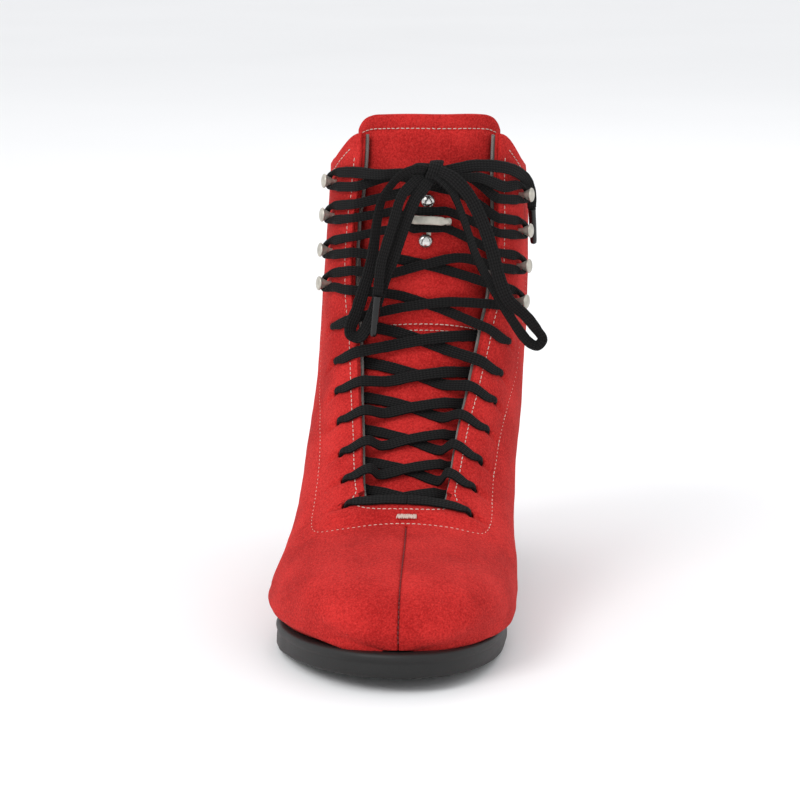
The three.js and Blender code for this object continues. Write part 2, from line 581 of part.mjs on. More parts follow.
// ---------------------------------------------------------------- lace held by the boot
// A flat lace is swept through places that each give a point, the direction of the lace's width and the
// lace's width there. It is eight-sided: flat faces with chamfered edges.
function sweepLace(places) {
  const outlines = places.map(({ point, wide, width = LACE_WIDTH, thick = LACE_THICKNESS }, i) => {
    const before = places[Math.max(i - 1, 0)].point;
    const after = places[Math.min(i + 1, places.length - 1)].point;
    const along = after.clone().sub(before).normalize();
    const side = wide.clone().addScaledVector(along, -wide.dot(along)).normalize();
    const face = along.clone().cross(side).normalize();
    const [a, b] = [width / 2, thick / 2];
    const corner = Math.min(0.7 * b, 0.4 * a);
    return [[a, b - corner], [a - corner, b], [corner - a, b], [-a, b - corner],
      [-a, corner - b], [corner - a, -b], [a - corner, -b], [a, corner - b]]
      .map(([u, v]) => point.clone().addScaledVector(side, u).addScaledVector(face, v));
  });
  return loft(outlines);
}

const OVER = STAY_TOP + GAP + LACE_THICKNESS / 2 + 0.2;     // middle of a lace lying on the facing
const UNDER = LACE_DEPTH;
const UPPER_CROSSING = UNDER + LACE_THICKNESS + 0.9;
const HOOK_TURN = 4.1;             // from a hook's middle to the middle of the lace round it
const HOOK_TURN_HEIGHT = STAY_TOP + 2.5;
const AT_HOLE = 2.8;               // width of the lace squeezed through a hole or round a hook

// A place of the lace at a girth and a distance sideways from the girth's middle.
function lacePlace(girth, sideways, depth, width = LACE_WIDTH) {
  const degrees = angleAt(girth, sideways * GRADE_X);
  return { point: onLast(girth, degrees, depth), wide: lastFrame(girth, degrees).up, width };
}

const columnX = (row, side) => side * columnHalf(row);

// Through a hole, from outside the boot (+1) to inside it or the other way.
function throughHole(row, side, inwards) {
  const girth = columnGirth(row, side);
  const x = columnX(row, side);
  const places = [
    lacePlace(girth, x - side * 4.6, OVER, 5),
    lacePlace(girth, x - side * 1.1, OVER - 0.1, AT_HOLE),
    lacePlace(girth, x, -0.8, AT_HOLE),
    lacePlace(girth, x - side * 1.1, UNDER + 0.2, AT_HOLE),
    lacePlace(girth, x - side * 4.4, UNDER, 5),
  ];
  return inwards ? places : places.reverse();
}

// Across the tongue from one side to the other. The lace goes from girth to girth between two places
// left and right of the middle, over or under the other half of the lace, and starts and ends on top of
// the facing or under it.
function crossing({
  side, startGirth, endGirth, startsOver, endsOver, onTop, cross = 0, middle = 0, lift = 0, width,
}) {
  const level = (onTop ? UPPER_CROSSING : UNDER) + lift;
  const row = (girth) => Math.max(girth - FIRST_ROW, 0);
  const [startEdge, endEdge] = [openingHalf(row(startGirth)), openingHalf(row(endGirth))];
  const reach = cross || Math.min(startEdge - 4, 13);
  const range = cross || columnHalf(row(startGirth));
  const direct = (x) => lerp(startGirth, endGirth, (range - side * x) / (2 * range));
  const drawnIn = (x) => lerp(
    middle - CROSSING_SPREAD * clamp((side * x) / cross, -1, 1),
    side * x > 0 ? startGirth : endGirth,
    smoothstep(Math.abs(x), cross, startEdge),
  );
  const girthAt = cross ? drawnIn : direct;
  const near = (edge, over, sign) => (over
    ? [[sign * (edge + 1.4), OVER + 0.2], [sign * (edge - 1.4), OVER - 0.4]]
    : [[sign * (edge + 1.2), UNDER], [sign * (edge - 1.4), UNDER]]);
  const stops = [
    ...near(startEdge, startsOver, side),
    [side * reach, level], [0, level], [-side * reach, level],
    ...near(endEdge, endsOver, -side).reverse(),
  ];
  return stops.map(([x, depth]) => lacePlace(girthAt(x), x, depth, width));
}

// Round a hook's neck, from its lower side to its upper side.
function roundHook(hook, side) {
  const girth = columnGirth(ROWS + hook, side);
  const degrees = angleAt(girth, columnX(ROWS + hook, side) * GRADE_X);
  const { up, round, out } = lastFrame(girth, degrees);
  const base = onLast(girth, degrees, 0);
  const at = (outward, rise, height, lean, width) => ({
    point: base.clone().addScaledVector(round, side * outward).addScaledVector(up, rise).addScaledVector(out, height),
    wide: up.clone().multiplyScalar(Math.cos(rad(lean))).addScaledVector(out, Math.sin(rad(lean))),
    width,
  });
  const lower = [
    at(-7.2, -HOOK_TURN, OVER + 0.3, 0, 4.8),
    at(-4.2, -HOOK_TURN, OVER + 0.7, 40, 4.2),
    at(-0.6, -HOOK_TURN, HOOK_TURN_HEIGHT, 85, AT_HOLE),
    at(HOOK_TURN * 0.7, -HOOK_TURN * 0.7, HOOK_TURN_HEIGHT, 90, AT_HOLE),
  ];
  const upper = [
    at(HOOK_TURN * 0.7, HOOK_TURN * 0.7, HOOK_TURN_HEIGHT, 90, AT_HOLE),
    at(-0.6, HOOK_TURN, HOOK_TURN_HEIGHT, 85, AT_HOLE),
    at(-4.2, HOOK_TURN, OVER + 0.7, 40, 4.2),
    at(-7.2, HOOK_TURN, OVER + 0.3, 0, 4.8),
  ];
  return [...lower, at(HOOK_TURN, 0, HOOK_TURN_HEIGHT, 90, AT_HOLE), ...upper];
}

const HOOK_SPACING = 14.3;         // between two hooks
const HOOK_STEP = HOOK_TURN / HOOK_SPACING;    // the turn as a share of a girth
const CROSSING_SPREAD = 0.26;      // girth between the crossing's middle and either side of it
const KEEPER_REACH = 7.1;          // sideways from the keeper's middle to where the lace under it bends
// How the lace crosses on its way to each pair of hooks; on its way to the third it runs under the keeper.
const HOOK_CROSSINGS = [
  { width: 4.8 },
  { cross: 17, middle: 14.6, width: 4.8 },
  { cross: KEEPER_REACH / GRADE_X, middle: KEEPER_GIRTH, lift: 0.8, width: 4.2 },
  { cross: 17, middle: 17.02, width: 4.8 },
];

// One half of the lace, from the middle of the straight bar over the lowest pair of holes to the knot.
function laceRun(startSide, lastPlaces) {
  const bar = [GAP / 2, 9, 18].map((x) => lacePlace(FIRST_ROW - startSide * columnTilt(0) * x / 26, startSide * x, OVER));
  let side = startSide;
  const places = [...bar, ...throughHole(0, side, true)];
  for (let row = 0; row < ROWS - 1; row += 1) {
    places.push(...crossing({
      side, startGirth: columnGirth(row, side), endGirth: columnGirth(row + 1, -side),
      startsOver: row > 0, endsOver: false, onTop: side < 0,
    }));
    side = -side;
    places.push(...throughHole(row + 1, side, false));
  }
  let girth = columnGirth(ROWS - 1, side);
  for (let hook = 0; hook < HOOKS; hook += 1) {
    places.push(...crossing({
      side, startGirth: girth, endGirth: columnGirth(ROWS + hook, -side) - HOOK_STEP,
      startsOver: true, endsOver: true, onTop: side < 0, ...HOOK_CROSSINGS[hook],
    }));
    side = -side;
    places.push(...roundHook(hook, side));
    girth = columnGirth(ROWS + hook, side) + HOOK_STEP;
  }
  const edge = openingHalf(girth - FIRST_ROW);
  places.push(lacePlace(girth + 0.1, side * (edge + 1.4), OVER + 0.2), ...lastPlaces);
  return places;
}

// ---------------------------------------------------------------- knot, bow and ends (points above the ground)
const KNOT = V(8.9, 4, 192);
const KNOT_HALF = 8;
const KNOT_RADIUS = 4.5;
const CORD_RADIUS = 1.6;           // the flat lace hanging free, drawn round
const UP = V(0, 0, 1);
const ground = (x, y, z) => V(x, y, z - SOLE_THICKNESS);
const toKnot = (points) => points.map(([x, y, z, width]) => ({ point: ground(x, y, z), wide: UP, width }));

const TO_KNOT_MEDIAL = [[-13, 9.6, 190.4, 5], [-5, 6.6, 191.6, 4], [0.5, 4.6, 192, 3]];
const TO_KNOT_LATERAL = [[30, 8.8, 189.4, 5], [23, 6.2, 189.8, 4], [17.3, 4.4, 190.4, 3]];
add('lace_run_medial', sweepLace(laceRun(-1, toKnot(TO_KNOT_MEDIAL))), LACE_BLACK);
add('lace_run_lateral', sweepLace(laceRun(1, toKnot(TO_KNOT_LATERAL))), LACE_BLACK);

const knotProfile = [
  [0, -KNOT_HALF], [2.4, -KNOT_HALF], [4, -5], [KNOT_RADIUS, 0], [4, 5], [2.4, KNOT_HALF], [0, KNOT_HALF],
];
const knot = new THREE.LatheGeometry(knotProfile.map(([r, h]) => new THREE.Vector2(r, h)), 12);
knot.rotateZ(-Math.PI / 2).translate(KNOT.x, KNOT.y, KNOT.z - SOLE_THICKNESS);
add('lace_knot', knot, LACE_BLACK);

// A round cord through its points.
function cord(points, steps) {
  const curve = new THREE.CatmullRomCurve3(points.map((p) => ground(...p)), false, 'centripetal');
  const section = new THREE.Shape(span(7, 0, 7).map((i) => new THREE.Vector2(
    CORD_RADIUS * Math.cos((i * Math.PI) / 4), CORD_RADIUS * Math.sin((i * Math.PI) / 4))));
  return new THREE.ExtrudeGeometry(section, { extrudePath: curve, steps, bevelEnabled: false });
}

const LOOP_LEFT = [
  [3.2, -1.8, 194.2], [-2.8, -1.2, 191.8], [-7.4, 0.2, 187.2], [-11.8, 1.5, 180.4], [-14, 2.5, 170.5],
  [-15.4, 3, 160], [-17.2, 3.6, 150], [-20, 4.3, 140.5], [-23, 5.2, 131], [-25.6, 6.2, 124.6],
  [-25.6, 6.4, 120.8], [-22.4, 5.9, 119.6], [-19.4, 5.1, 122.8], [-15.8, 4.4, 130.5], [-11.4, 3, 144],
  [-7, 1.6, 155], [-2.6, 0.4, 168], [2.6, -1.2, 181], [7.4, -2.6, 186.2],
];
const LOOP_RIGHT = [
  [13.6, -1.6, 189.3], [19.2, -0.8, 183], [24.3, 0.2, 170], [28.8, 2, 156.5], [36.8, 5.5, 140.5],
  [45, 9, 126.5], [51.2, 11.6, 117.6], [55.4, 12.9, 115.2], [58.2, 13, 118.4], [53.6, 11.2, 129],
  [43.4, 6.5, 145], [37.8, 4, 158], [33.4, 1.6, 170], [26.6, -1, 183], [18.6, -2.4, 191.2],
];
const TAIL_LEFT = [
  [1.8, -1.6, 188.6], [-3, -2.8, 182.6], [-7, -2.2, 170], [-10, -1.6, 160.5], [-12.2, -1, 152], [-13.6, -0.4, 139],
];
const TAIL_RIGHT = [
  [17.4, 5, 194.6], [26, 7.5, 197.2], [38, 12.5, 198.6], [46.5, 20, 197.2], [52, 28.5, 193.5],
  [55.2, 36, 188], [56.2, 40.4, 180.6],
];
add('bow_loop_left', cord(LOOP_LEFT, 34), LACE_BLACK);
add('bow_loop_right', cord(LOOP_RIGHT, 34), LACE_BLACK);
add('lace_tail_left', cord(TAIL_LEFT, 10), LACE_BLACK);
add('lace_tail_right', cord(TAIL_RIGHT, 14), LACE_BLACK);

// An aglet carries on straight from the end of its tail.
function aglet(tail) {
  const [before, end] = tail.slice(-2).map((p) => ground(...p));
  const along = end.clone().sub(before).normalize();
  const sheath = new THREE.CylinderGeometry(AGLET_RADIUS, AGLET_RADIUS * 0.85, AGLET_LENGTH, 8);
  const turn = new THREE.Quaternion().setFromUnitVectors(V(0, -1, 0), along);
  const middle = end.clone().addScaledVector(along, GAP + AGLET_LENGTH / 2);
  return sheath.applyQuaternion(turn).translate(...middle.toArray());
}
add('aglet_left', aglet(TAIL_LEFT), AGLET_BLACK);
add('aglet_right', aglet(TAIL_RIGHT), AGLET_BLACK);

export default boot;
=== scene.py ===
"""A left high-top lace-up boot of red suede: its leather, laces, metal and sole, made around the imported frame.

Lengths inside the classes are millimetres, and become metres when a mesh is made. The frame: +Z up from the ground,
toe towards -Y, the wearer's left (lateral) side towards +X.
"""

import json
import logging
import math
from collections.abc import Callable, Iterable, Sequence
from dataclasses import dataclass, field
from enum import Enum

import bmesh
import bpy
import numpy as np
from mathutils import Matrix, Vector

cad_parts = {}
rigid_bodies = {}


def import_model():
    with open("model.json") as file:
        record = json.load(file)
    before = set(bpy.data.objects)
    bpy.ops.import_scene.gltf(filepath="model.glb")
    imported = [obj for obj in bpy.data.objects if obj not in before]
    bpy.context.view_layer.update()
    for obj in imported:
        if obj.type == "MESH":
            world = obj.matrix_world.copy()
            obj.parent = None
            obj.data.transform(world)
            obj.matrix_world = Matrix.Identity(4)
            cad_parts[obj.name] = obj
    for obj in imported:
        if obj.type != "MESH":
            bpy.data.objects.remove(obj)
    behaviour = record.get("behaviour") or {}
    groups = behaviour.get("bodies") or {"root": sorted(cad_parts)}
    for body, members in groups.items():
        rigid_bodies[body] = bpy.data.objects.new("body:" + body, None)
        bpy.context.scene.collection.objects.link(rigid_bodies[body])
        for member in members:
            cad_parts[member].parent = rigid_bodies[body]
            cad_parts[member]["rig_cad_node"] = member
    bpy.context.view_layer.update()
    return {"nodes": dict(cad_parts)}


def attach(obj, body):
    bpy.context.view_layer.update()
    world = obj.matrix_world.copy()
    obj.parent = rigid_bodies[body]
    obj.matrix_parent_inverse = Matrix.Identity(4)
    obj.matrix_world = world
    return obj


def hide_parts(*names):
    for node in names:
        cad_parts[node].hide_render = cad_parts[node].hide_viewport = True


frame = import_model()

LOG = logging.getLogger("boot")
METRE = 0.001
COLLAR = 18.0  # the girth of the collar
WAVE = 0.22  # how far suede rises and falls over its length
Array = np.ndarray
Track = Callable[[Array], Array]
Place = tuple[Array, Array, float]
Route = tuple[tuple[float, float, float], ...]


class Side(Enum):
    """A side of the boot, as the sign of its X direction."""

    MEDIAL = -1
    LATERAL = 1

    @property
    def label(self) -> str:
        """The side's word in the names of pieces."""
        return self.name.lower()


class Body(Enum):
    """The bodies of the frame that pieces ride on."""

    BOOT = "root"
    LEFT_BOW = "bow_left"
    RIGHT_BOW = "bow_right"


# ---------------------------------------------------------------- curves and the last
def track(values: Sequence[float]) -> Track:
    """Makes a smooth curve through evenly numbered values that never overshoots them.

    Args:
        values: the curve's values at 0, 1, 2 and so on.

    Returns:
        A function from places along the curve to values.
    """
    v = np.asarray(values, float)
    step = np.diff(v)
    slope = np.zeros_like(v)
    slope[0], slope[-1] = step[0], step[-1]
    a, b = step[:-1], step[1:]
    safe = np.where(a * b > 0, a + b, 1.0)
    slope[1:-1] = np.where(a * b > 0, 2 * a * b / safe, 0.0)

    def at(t: Array) -> Array:
        """The value at places along the curve."""
        t = np.asarray(t, float)
        i = np.clip(np.floor(t).astype(int), 0, len(v) - 2)
        s = t - i
        s2, s3 = s * s, s * s * s
        return (v[i] * (2 * s3 - 3 * s2 + 1) + slope[i] * (s3 - 2 * s2 + s)
                + v[i + 1] * (3 * s2 - 2 * s3) + slope[i + 1] * (s3 - s2))

    return at


def smooth(value: Array, low: float, high: float) -> Array:
    """Rises smoothly from 0 at low to 1 at high."""
    t = np.clip((np.asarray(value, float) - low) / (high - low), 0, 1)
    return t * t * (3 - 2 * t)


def past_back(degrees: Array) -> Array:
    """Angles beyond the back seam, counted from the other side."""
    return np.where(degrees > 180, degrees - 360, degrees)


def circle(sides: int) -> Array:
    """Angles spaced evenly round a circle, in radians."""
    return np.linspace(0, 2 * math.pi, sides, endpoint=False)


def unit(v: Array) -> Array:
    """Vectors of length one in the same directions."""
    return v / np.maximum(np.linalg.norm(v, axis=-1, keepdims=True), 1e-12)


def ripple(points: Array, wavelength: float, seed: int) -> Array:
    """A soft, irregular height of about -1 to 1 at each point, the same on every run.

    Args:
        points: places in millimetres.
        wavelength: the usual distance between two rises.
        seed: chooses one of many such patterns.

    Returns:
        One height for each point.
    """
    rng = np.random.default_rng(seed)
    total = np.zeros(points.shape[:-1])
    waves = 7
    for _ in range(waves):
        direction = unit(rng.normal(size=3))
        rate = 2 * math.pi / (wavelength * rng.uniform(0.7, 1.5))
        total += np.sin(points @ direction * rate + rng.uniform(0, 2 * math.pi))
    return total / math.sqrt(waves * 2)


def surface_wave(points: Array) -> Array:
    """The slight unevenness of leather drawn over a last."""
    return ripple(points, 34, 5) + 0.45 * ripple(points, 11, 6)


@dataclass(frozen=True)
class Last:
    """The form the boot is made on. Every leather piece is a patch of it, at its own depth.

    Girths are numbered from the toe (0) to above the tongue (19). Lace rows lie at girths 7 to 13 and hooks at 14 to
    17. Angles run round a girth from the front (0) to the lateral side (+90) and the medial side (-90).
    """

    sole: float = 12.0
    girths: tuple[tuple[float, ...], ...] = (
        # front y, z, back y, z, middle x, medial and lateral half widths, widest place, squareness front and back
        (-130.0, 5.0, -126.5, 4.4, 1.5, 6.0, 6.0, 0.50, 2.0, 2.0),
        (-131.3, 12.0, -119.0, 3.6, 1.5, 20.0, 19.0, 0.55, 2.1, 2.4),
        (-127.5, 20.5, -109.0, 2.8, 1.6, 31.0, 28.5, 0.60, 2.2, 2.9),
        (-117.5, 27.5, -98.0, 2.0, 1.6, 39.5, 36.0, 0.64, 2.3, 3.4),
        (-101.0, 32.3, -86.0, 1.2, 1.7, 47.0, 41.5, 0.66, 2.3, 3.8),
        (-81.0, 35.2, -72.0, 0.6, 1.7, 53.0, 44.8, 0.66, 2.2, 4.0),
        (-61.0, 38.6, -56.0, 0.2, 1.5, 55.6, 46.2, 0.65, 2.2, 4.0),
        (-47.0, 45.2, -38.0, 0.6, 1.5, 53.6, 46.2, 0.62, 2.2, 4.0),
        (-35.8, 54.4, -12.0, 5.0, 1.6, 50.8, 45.0, 0.58, 2.2, 4.0),
        (-25.0, 64.4, 16.0, 13.0, 1.8, 49.0, 44.2, 0.53, 2.2, 3.8),
        (-13.2, 75.6, 48.0, 24.0, 2.0, 48.0, 44.4, 0.47, 2.2, 3.6),
        (-4.0, 87.2, 84.0, 31.0, 2.4, 47.5, 45.0, 0.42, 2.2, 3.2),
        (2.4, 99.8, 123.0, 33.0, 3.0, 47.0, 45.5, 0.38, 2.2, 2.7),
        (5.0, 114.6, 131.0, 54.0, 3.8, 46.4, 45.7, 0.37, 2.2, 2.3),
        (5.6, 131.2, 129.0, 82.0, 4.6, 46.0, 46.0, 0.38, 2.2, 2.2),
        (7.0, 145.0, 124.0, 104.0, 5.2, 45.6, 45.7, 0.41, 2.2, 2.1),
        (8.4, 159.6, 119.5, 127.0, 5.8, 45.2, 45.2, 0.45, 2.2, 2.1),
        (9.2, 173.2, 117.0, 149.0, 6.2, 44.6, 44.6, 0.47, 2.2, 2.1),
        (10.4, 191.0, 117.0, 176.0, 6.2, 43.4, 43.4, 0.48, 2.2, 2.1),
        (11.0, 205.0, 118.0, 192.0, 6.2, 43.2, 43.2, 0.48, 2.2, 2.1),
    )
    opening: tuple[float, ...] = (14.5, 17.2, 18.6, 20.4, 22.9, 25, 27.3, 30.2, 31, 30.6, 29.5, 29.2, 29.2)
    column: tuple[float, ...] = (26, 27.4, 29.6, 31.8, 34.1, 35.7, 38.2, 39.6, 39.8, 39.6, 39.2, 39, 39)
    tilt: tuple[float, ...] = (0.08, 0.08, 0.06, 0.08, 0.1, 0.15, 0.16, 0.2, 0.2, 0.2, 0.15)
    first_row: float = 7.0
    bend: float = 16.0
    collar_front: float = 18.1
    collar_side: float = 17.68
    collar_back: float = 18.0
    peak: float = 0.46
    curves: list[Track] = field(default_factory=list)

    def __post_init__(self) -> None:
        """Draws the curves through the girths."""
        self.curves.extend(track(values) for values in zip(*self.girths))
        numbers = np.arange(len(self.girths))
        self.curves.append(track(1.2 * smooth(numbers, 9, 13) + 2.8 * smooth(numbers, 16, 19)))
        self.curves.extend(track(values) for values in (self.opening, self.column, self.tilt))

    def point(self, girth: Array, degrees: Array) -> Array:
        """The points of the last at girths and angles round them."""
        girth, degrees = np.broadcast_arrays(np.asarray(girth, float), np.asarray(degrees, float))
        front_y, front_z, back_y, back_z, mid, medial, lateral, widest, front_power, back_power, turn = (
            curve(girth) for curve in self.curves[:11])
        angle = np.radians(np.abs(degrees))
        c, s = np.cos(angle), np.clip(np.sin(angle), 0, 1)
        is_front = c >= 0
        exponent = 2 / np.where(is_front, front_power, back_power)
        share = np.where(is_front, widest * (1 - np.abs(c) ** exponent), widest + (1 - widest) * np.abs(c) ** exponent)
        half = np.where(degrees < 0, medial, lateral)
        x = mid + np.sign(degrees) * half * s ** exponent + turn * np.where(is_front, c * c, 0)
        y = front_y + (back_y - front_y) * share
        z = front_z + (back_z - front_z) * share + self.sole
        return np.stack([x, y, z], -1)

    def frame(self, girth: Array, degrees: Array) -> tuple[Array, Array, Array]:
        """Unit vectors up the girths, round the loop and outwards."""
        step, turn = 0.04, 1.2
        girth, degrees = np.asarray(girth, float), np.asarray(degrees, float)
        up = unit(self.point(girth + step, degrees) - self.point(girth - step, degrees))
        round_ = unit(self.point(girth, degrees + turn) - self.point(girth, degrees - turn))
        return up, round_, unit(np.cross(round_, up))

    def on(self, girth: Array, degrees: Array, depth: Array) -> Array:
        """Points standing off the last by a depth, outwards positive."""
        out = self.frame(girth, degrees)[2]
        return self.point(girth, degrees) + out * np.asarray(depth, float)[..., None]

    def angle_at(self, girth: Array, sideways: Array) -> Array:
        """The angle at which a girth's front half reaches a distance sideways from its middle."""
        girth, sideways = np.broadcast_arrays(np.asarray(girth, float), np.asarray(sideways, float))
        half = np.where(sideways < 0, self.curves[5](girth), self.curves[6](girth))
        ratio = np.clip(np.abs(sideways) / half, 0, 1)
        return np.sign(sideways) * np.degrees(np.arcsin(ratio ** (self.curves[8](girth) / 2)))

    def opening_half(self, row: Array) -> Array:
        """Half width of the lace opening at a lace row."""
        return self.curves[11](row)

    def column_half(self, row: Array) -> Array:
        """Half width between the columns of holes and hooks at a row."""
        return self.curves[12](row)

    def column_girth(self, row: int, side: int) -> float:
        """The girth of a row's hole or hook on one side."""
        return float(self.first_row + row - side * self.curves[13](row))

    def opening_angle(self, girth: Array) -> Array:
        """The angle of the lace opening's edge at a girth."""
        return self.angle_at(girth, self.opening_half(girth - self.first_row))

    def column_angle(self, girth: Array) -> Array:
        """The angle of the columns of holes and hooks at a girth."""
        return self.angle_at(girth, self.column_half(girth - self.first_row))

    def to_collar(self, girth: Array, degrees: Array, below: float = 0.0) -> Array:
        """Bends the girths above the third hook so that girth 18 follows the collar line."""
        girth = np.asarray(girth, float)
        c = np.cos(np.radians(degrees))
        collar = self.collar_side + (np.where(c > 0, self.collar_front, self.collar_back) - self.collar_side) * c * c
        collar = collar + self.peak * (1 - smooth(np.abs(degrees), 42, 66))
        bent = self.bend + (girth - self.bend) * (collar - below - self.bend) / (COLLAR - self.bend)
        return np.where(girth <= self.bend, girth, bent)


LAST = Last()


# ---------------------------------------------------------------- meshes
def spread(start: float, end: float, count: int, edge: float = 0.0) -> Array:
    """Evenly spread numbers, with two more close to each end where an edge is rounded.

    Args:
        start: the first number.
        end: the last number.
        count: how many steps lie between them.
        edge: the distance of the extra numbers from the ends, or 0 for none.

    Returns:
        The numbers in order.
    """
    numbers = np.linspace(start, end, count + 1)
    if not edge:
        return numbers
    way = math.copysign(edge, end - start)
    extra = [start + way * 0.3, start + way, end - way, end - way * 0.3]
    inner = [n for n in numbers[1:-1] if abs(n - start) > 1.4 * edge and abs(n - end) > 1.4 * edge]
    return np.array([start, extra[0], extra[1], *inner, extra[2], extra[3], end])


def new_piece(name: str, vertices: Array, faces: Iterable[Sequence[int]], uv: Array | None = None) -> bpy.types.Object:
    """Makes a smooth-shaded mesh object.

    Args:
        name: the object's name.
        vertices: places in millimetres.
        faces: the corners of each face.
        uv: a place on a flat pattern for each vertex, if a finish needs it.

    Returns:
        The new object, linked to the scene.
    """
    mesh = bpy.data.meshes.new(name)
    mesh.from_pydata((np.asarray(vertices) * METRE).tolist(), [], [list(map(int, f)) for f in faces])
    mesh.polygons.foreach_set("use_smooth", [True] * len(mesh.polygons))
    if uv is not None:
        layer = mesh.uv_layers.new(name="pattern")
        corners = np.empty(len(mesh.loops), int)
        mesh.loops.foreach_get("vertex_index", corners)
        layer.data.foreach_set("uv", uv[corners].ravel())
    mesh.update()
    piece = bpy.data.objects.new(name, mesh)
    bpy.context.scene.collection.objects.link(piece)
    return piece


def grid_faces(rows: int, columns: int, around: bool = False) -> Array:
    """The faces of a grid of points.

    Args:
        rows: the number of rows of points.
        columns: the number of points in a row.
        around: whether the last point of a row joins the first.

    Returns:
        Four corner numbers for each face, in order of rows.
    """
    i, j = np.meshgrid(np.arange(rows - 1), np.arange(columns if around else columns - 1), indexing="ij")
    k = (j + 1) % columns
    return np.stack([i * columns + j, i * columns + k, (i + 1) * columns + k, (i + 1) * columns + j], -1).reshape(-1, 4)


@dataclass(frozen=True)
class Hole:
    """A round hole through leather."""

    centre: Array
    out: Array
    radius: float

    def distance(self, points: Array) -> Array:
        """How far each point lies from the hole's axis."""
        away = points - self.centre
        along = away @ self.out
        far = np.linalg.norm(away, axis=-1) > 4 * self.radius + 6
        return np.where(far, 1e3, np.linalg.norm(away - along[..., None] * self.out, axis=-1))


def leather(name: str, outer: Array, inner: Array, holes: Sequence[Hole] = ()) -> bpy.types.Object:
    """Makes a closed sheet from the points of its two faces, with round holes through it.

    Args:
        name: the object's name.
        outer: rows and columns of points on the outer face.
        inner: the same on the inner face.
        holes: the holes to punch.

    Returns:
        The new object.
    """
    rows, columns = outer.shape[:2]
    outer, inner = outer.reshape(-1, 3).copy(), inner.reshape(-1, 3).copy()
    faces = grid_faces(rows, columns)
    first = outer[faces]
    normal = np.cross(first[:, 1] - first[:, 0], first[:, 3] - first[:, 0])
    if np.sum(normal * (first.mean(1) - inner[faces].mean(1))) < 0:
        faces = faces[:, ::-1]
    keep = np.ones(len(faces), bool)
    for hole in holes:
        inside = hole.distance(outer[faces].mean(1)) < hole.radius
        keep &= ~inside
        rim = np.intersect1d(faces[inside], faces[~inside])
        for side in (outer, inner):
            away = side[rim] - hole.centre
            along = (away @ hole.out)[:, None] * hole.out
            side[rim] = hole.centre + along + unit(away - along) * hole.radius
    faces = faces[keep]
    count = len(outer)
    edges = np.concatenate([np.stack([faces[:, k], faces[:, (k + 1) % 4]], 1) for k in range(4)])
    code, back = edges[:, 0] * count + edges[:, 1], edges[:, 1] * count + edges[:, 0]
    border = edges[~np.isin(code, back)]
    walls = np.stack([border[:, 1], border[:, 0], border[:, 0] + count, border[:, 1] + count], 1)
    every = np.concatenate([faces, faces[:, ::-1] + count, walls])
    used = np.unique(every)
    new = np.zeros(2 * count, int)
    new[used] = np.arange(len(used))
    return new_piece(name, np.concatenate([outer, inner])[used], new[every])


def tube(name: str, rings: Array, uv: Array | None = None, wrap: bool = False) -> bpy.types.Object:
    """Makes a closed body from rings of points, capped at both ends.

    Args:
        name: the object's name.
        rings: rings, points in a ring, and their three coordinates.
        uv: a place on a flat pattern for each point.
        wrap: whether the last ring joins the first, with no caps.

    Returns:
        The new object.
    """
    count, around = rings.shape[:2]
    faces = grid_faces(count, around, around=True).tolist()
    if wrap:
        last = (count - 1) * around
        faces += [[last + j, last + (j + 1) % around, (j + 1) % around, j] for j in range(around)]
    points = rings.reshape(-1, 3)
    if not wrap:
        ends = [points[:around].mean(0), points[-around:].mean(0)]
        tip, tail = len(points), len(points) + 1
        faces += [[tip, (j + 1) % around, j] for j in range(around)]
        last = (count - 1) * around
        faces += [[tail, last + j, last + (j + 1) % around] for j in range(around)]
        points = np.concatenate([points, ends])
        if uv is not None:
            uv = np.concatenate([uv.reshape(-1, 2), uv[0].mean(0, keepdims=True), uv[-1].mean(0, keepdims=True)])
    elif uv is not None:
        uv = uv.reshape(-1, 2)
    centre = rings.mean(1, keepdims=True)
    first = rings[:-1], rings[1:]
    normal = np.cross(np.roll(first[0], -1, 1) - first[0], first[1] - first[0])
    if np.sum(normal * (first[0] - centre[:-1])) < 0:
        faces = [f[::-1] for f in faces]
    return new_piece(name, points, faces, uv)


def turned(name: str, profile: Sequence[tuple[float, float]], place: "Seat", sides: int = 40,
           aside: tuple[float, float] = (0.0, 0.0)) -> bpy.types.Object:
    """Makes a turned body from its profile of radius and height, standing on a seat or a little aside of it."""
    angles = circle(sides)
    rings = [place.at(r * np.cos(angles) + aside[0], r * np.sin(angles) + aside[1], np.full(sides, h))
             for r, h in profile]
    return tube(name, np.array(rings))


def smooth_path(points: Array, steps: int) -> Array:
    """A smooth curve through points or rows of values.

    Args:
        points: the rows that the curve goes through.
        steps: how many pieces each stretch is cut into.

    Returns:
        The rows along the curve.
    """
    p = np.asarray(points, float)
    p = np.concatenate([[2 * p[0] - p[1]], p, [2 * p[-1] - p[-2]]])
    t = np.linspace(0, 1, steps, endpoint=False)[:, None]
    out = []
    for a, b, c, d in zip(p, p[1:], p[2:], p[3:]):
        first, second = (np.linalg.norm((b - a)[:3]) + 1e-6), (np.linalg.norm((c - b)[:3]) + 1e-6)
        third = np.linalg.norm((d - c)[:3]) + 1e-6
        start = (c - a) / (first + second) * second
        end = (d - b) / (second + third) * second
        out.append((2 * t ** 3 - 3 * t ** 2 + 1) * b + (t ** 3 - 2 * t ** 2 + t) * start
                   + (3 * t ** 2 - 2 * t ** 3) * c + (t ** 3 - t ** 2) * end)
    return np.concatenate([*out, p[-2:-1]])


